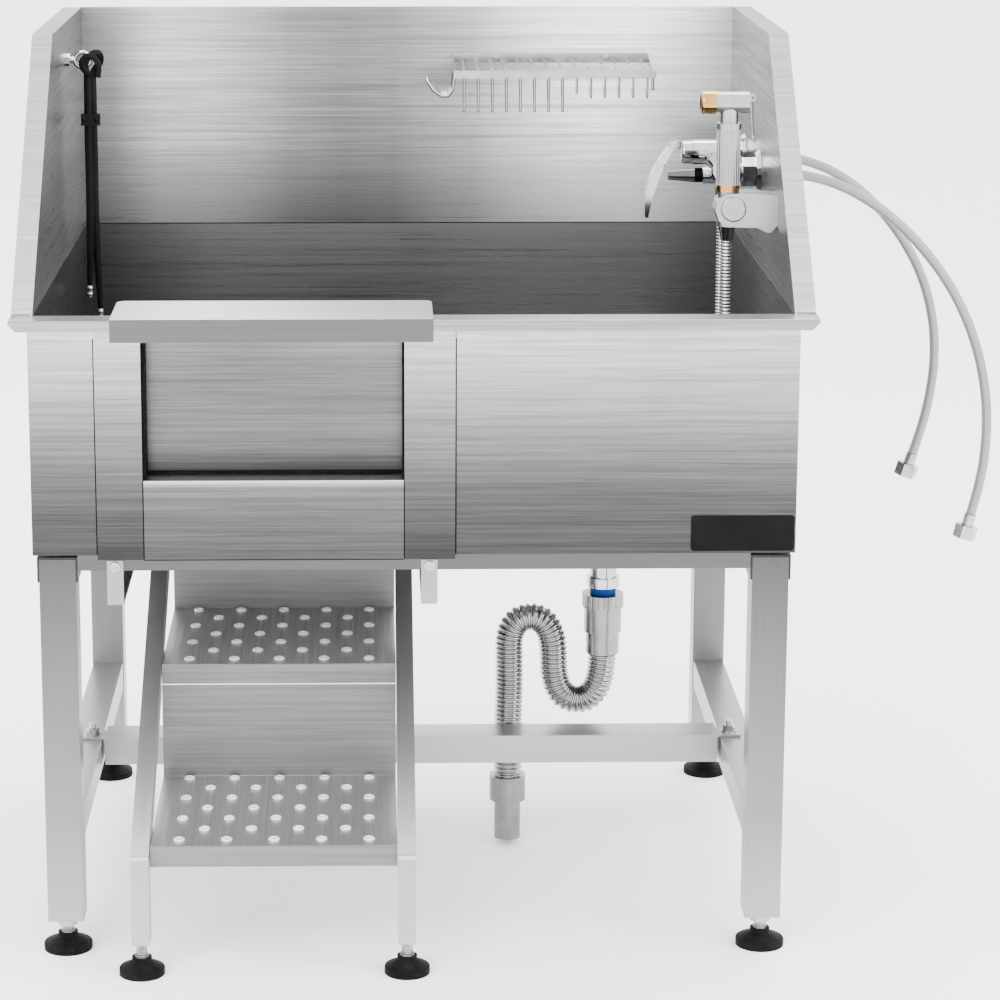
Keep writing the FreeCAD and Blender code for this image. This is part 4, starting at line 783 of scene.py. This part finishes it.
# %% Joint lines
PROUD = 0.5
FRAME_EDGES, FRAME_FOOT, RIM_UNDER = (-343.0, 44.0), 456.0, 699.0
SKIN_FACE, SKIN_FOOT = -294.0, 460.0
BASIN_BACK, BASIN_SIDE, RIM_TOP = 362.0, 409.0, 722.0
lines = [((GAP[0], FRAME_FACE - PROUD, FRAME_FOOT - 0.6), (GAP[1], FRAME_FACE + 1, FRAME_FOOT + 0.3)),
         ((-BASIN_SIDE, BASIN_BACK - 0.9, RIM_TOP - 0.3), (BASIN_SIDE, BASIN_BACK + 0.9, RIM_TOP + 0.9))]
for x in GAP:
    lines.append(((x - 0.5, FRAME_FACE - PROUD, FRAME_FOOT + 1), (x + 0.5, FRAME_FACE + 0.3, LEDGE_TOP)))
for x in (FRAME_EDGES[0] - 0.7, FRAME_EDGES[1] + 0.7):
    lines.append(((x - 0.6, SKIN_FACE - 3, SKIN_FOOT + 1), (x + 0.6, SKIN_FACE + 0.3, RIM_UNDER)))
beads = [strip("bead", *corners) for corners in lines]
line_piece = joined("joint_lines", beads)
wear(line_piece, SEAL_RUBBER)
print("joint lines", len(beads))

# %% [markdown]
# The tread holes are punched upwards, which leaves a raised rim round each; its near-white
# finish is a painted highlight. One ring is made per hole. The holes stand in seven rows,
# five and four by turns.

# %% Tread rims
TREADS = {"lower": (-345.0, 146.0), "upper": (-110.0, 281.0)}
TREAD_MIDDLE = -154.5
ROWS, PITCH = 7, 52.0
FIRST_ROW, ROW_SPAN = 18.0, 205.0
RIM_RADIUS, RIM_BODY, RIM_SEAT = 4.9, 1.35, 1.2


def rim_places(front, top):
    """Centres of the staggered holes in one tread, in millimetres."""
    places = []
    for row in range(ROWS):
        count = 5 if row % 2 == 0 else 4
        y = front + FIRST_ROW + row * ROW_SPAN / (ROWS - 1)
        places += [(TREAD_MIDDLE + (k - (count - 1) / 2) * PITCH, y, top) for k in range(count)]
    return places


for step_name, (front, top) in TREADS.items():
    rims = []
    for place in rim_places(front, top + RIM_SEAT):
        bpy.ops.object.select_all(action="DESELECT")
        bpy.ops.mesh.primitive_torus_add(major_radius=RIM_RADIUS * MM, minor_radius=RIM_BODY * MM,
                                         major_segments=20, minor_segments=8)
        bpy.ops.object.mode_set(mode="EDIT")
        bpy.ops.mesh.select_all(action="SELECT")
        bpy.ops.transform.resize(value=(1, 1, 1.25))
        bpy.ops.transform.translate(value=Vector(place) * MM)
        rims.append(shaped("rim", "ladder"))
    rim_piece = joined(step_name + "_tread_rims", rims)
    bpy.ops.object.shade_smooth()
    wear(rim_piece, RIM_HIGHLIGHT)
    print(step_name, "tread rims", len(rims))

# %% [markdown]
# The spout's selector is a black sleeve with coarse knurls. It turns with the collar,
# so it replaces the collar's plain node. Every other facet is inset and sunk, and the
# facets between them are left standing as knurls.
# It has no bore: the spout's spindle runs through it, out of sight.

# %% Knurled sleeve
low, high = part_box("spout_collar")
SLEEVE_RADIUS, KNURL, FACETS = 8.6 * MM, 0.7 * MM, 40
bpy.ops.object.select_all(action="DESELECT")
bpy.ops.mesh.primitive_cylinder_add(vertices=FACETS, radius=SLEEVE_RADIUS, depth=high.x - low.x)
sleeve = bpy.context.object
for face in sleeve.data.polygons:
    face.select = face.index % 2 == 0 and abs(face.normal.z) < 0.5
bpy.ops.object.mode_set(mode="EDIT")
bpy.ops.mesh.select_mode(type="FACE")
bpy.ops.mesh.inset(thickness=0.12 * MM, use_individual=True)
bpy.ops.transform.shrink_fatten(value=-KNURL)
bpy.ops.mesh.select_all(action="SELECT")
bpy.ops.transform.rotate(value=math.pi / 2, orient_axis="Y", center_override=(0, 0, 0))
bpy.ops.transform.translate(value=(low + high) / 2)
sleeve = shaped("spout_sleeve", "spout_collar")
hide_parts("spout_collar")
wear(sleeve, BLACK_PLASTIC)
print("sleeve", [round(c / MM, 1) for c in sleeve.dimensions], "mm")

# %% [markdown]
# The strap's fold is hitched round the eye: one turn goes through the ring and over
# it, and a second crosses the first. Both are swept like the strands.

# %% Lead hitch
HITCH_TURNS = {
    "over": [(-383, 142.6, 932), (-386.5, 141.6, 945), (-381, 140.8, 957), (-372, 141.8, 963),
             (-367, 145.6, 957), (-369, 149.6, 947), (-377, 151.2, 938), (-379, 149, 930)],
    "across": [(-371, 141.4, 932), (-368, 140.4, 945), (-374, 139.6, 956), (-383, 140.2, 958),
               (-390, 141, 951), (-388.5, 141.6, 942), (-381, 141.2, 935)]}
folded = band(lambda i: 6.0 * MM, 6.4 * MM, lambda i: 0.0)
turns = []
for turn_name, route in HITCH_TURNS.items():
    line, length = centre_line(route, 1.5 * MM)
    turns.append(sweep("hitch_" + turn_name, line, folded, Vector((0, 1, 0.3))))
hitch = joined("lead_hitch", turns)
wear(hitch, BLACK_LEATHER)
print("lead hitch", len(hitch.data.polygons), "faces")

# %% [markdown]
# Folded sheet never has a knife edge. A weld and a narrow bevel on the large sheets
# and tubes let each fold catch a thin line of light. The nodes' own meshes stay.

# %% Soft edges
EDGE_ROUND = 0.5 * MM
SHEETS = ["tub_basin", "front_aprons", "door_posts", "door_sill", "door_cap", "lower_step", "upper_step",
          "legs", "top_rails", "cross_rail", "lower_side_rails", "ladder_stringer_left",
          "ladder_stringer_right", "guide_channels", "leg_sockets"]
for name in SHEETS:
    weld = nodes[name].modifiers.new("weld", "WELD")
    weld.merge_threshold = 0.02 * MM
    soften = nodes[name].modifiers.new("soft_edges", "BEVEL")
    soften.width = EDGE_ROUND
    soften.segments = 2
    soften.limit_method = "ANGLE"
    soften.angle_limit = math.radians(50)
    soften.use_clamp_overlap = True
print("softened", len(SHEETS), "nodes")

# %% [markdown]
# A pale floor and plain soft light, as in a studio. The world is bright and even and
# gives most of the light. Three large soft panels add the rest, from the front, the
# right and above.

# %% Floor, world and lights
def flat_floor():
    """Large pale floor that fades into the backdrop."""
    bpy.ops.mesh.primitive_plane_add(size=30, location=(0, 0, 0))
    floor = bpy.context.object
    floor.name = "floor"
    finish = Finish("pale_floor", Roughness=0.9)
    cloud = finish.noise(finish.object, 0.8, 2.0, 0.5)
    finish.set("Base Color", cloud.tint((0.95, 0.95, 0.95, 1), (0.97, 0.97, 0.97, 1)))
    wear(floor, finish.material)


def soft_panel(name, at, aim, size, power):
    """Rectangular light that looks at a point."""
    data = bpy.data.lights.new(name, "AREA")
    data.shape = "RECTANGLE"
    data.size, data.size_y = size
    data.energy = power
    light = bpy.data.objects.new(name, data)
    light.location = at
    light.rotation_euler = (Vector(aim) - Vector(at)).to_track_quat("-Z", "Y").to_euler()
    bpy.context.scene.collection.objects.link(light)


flat_floor()
world = bpy.data.worlds.new("studio")
world.use_nodes = True
world.node_tree.nodes["Background"].inputs["Color"].default_value = (0.97, 0.98, 0.98, 1)
world.node_tree.nodes["Background"].inputs["Strength"].default_value = 4.0
bpy.context.scene.world = world
soft_panel("front_key", (-1.8, -3.2, 3.2), (0, 0, 0.6), (2.2, 1.6), 160)
soft_panel("right_fill", (2.8, -1.6, 1.8), (0, 0, 0.6), (1.2, 1.8), 70)
soft_panel("top_back", (0.2, 1.2, 3.4), (0, 0.1, 0.7), (2.4, 1.0), 110)
print("floor, world and lights ready")
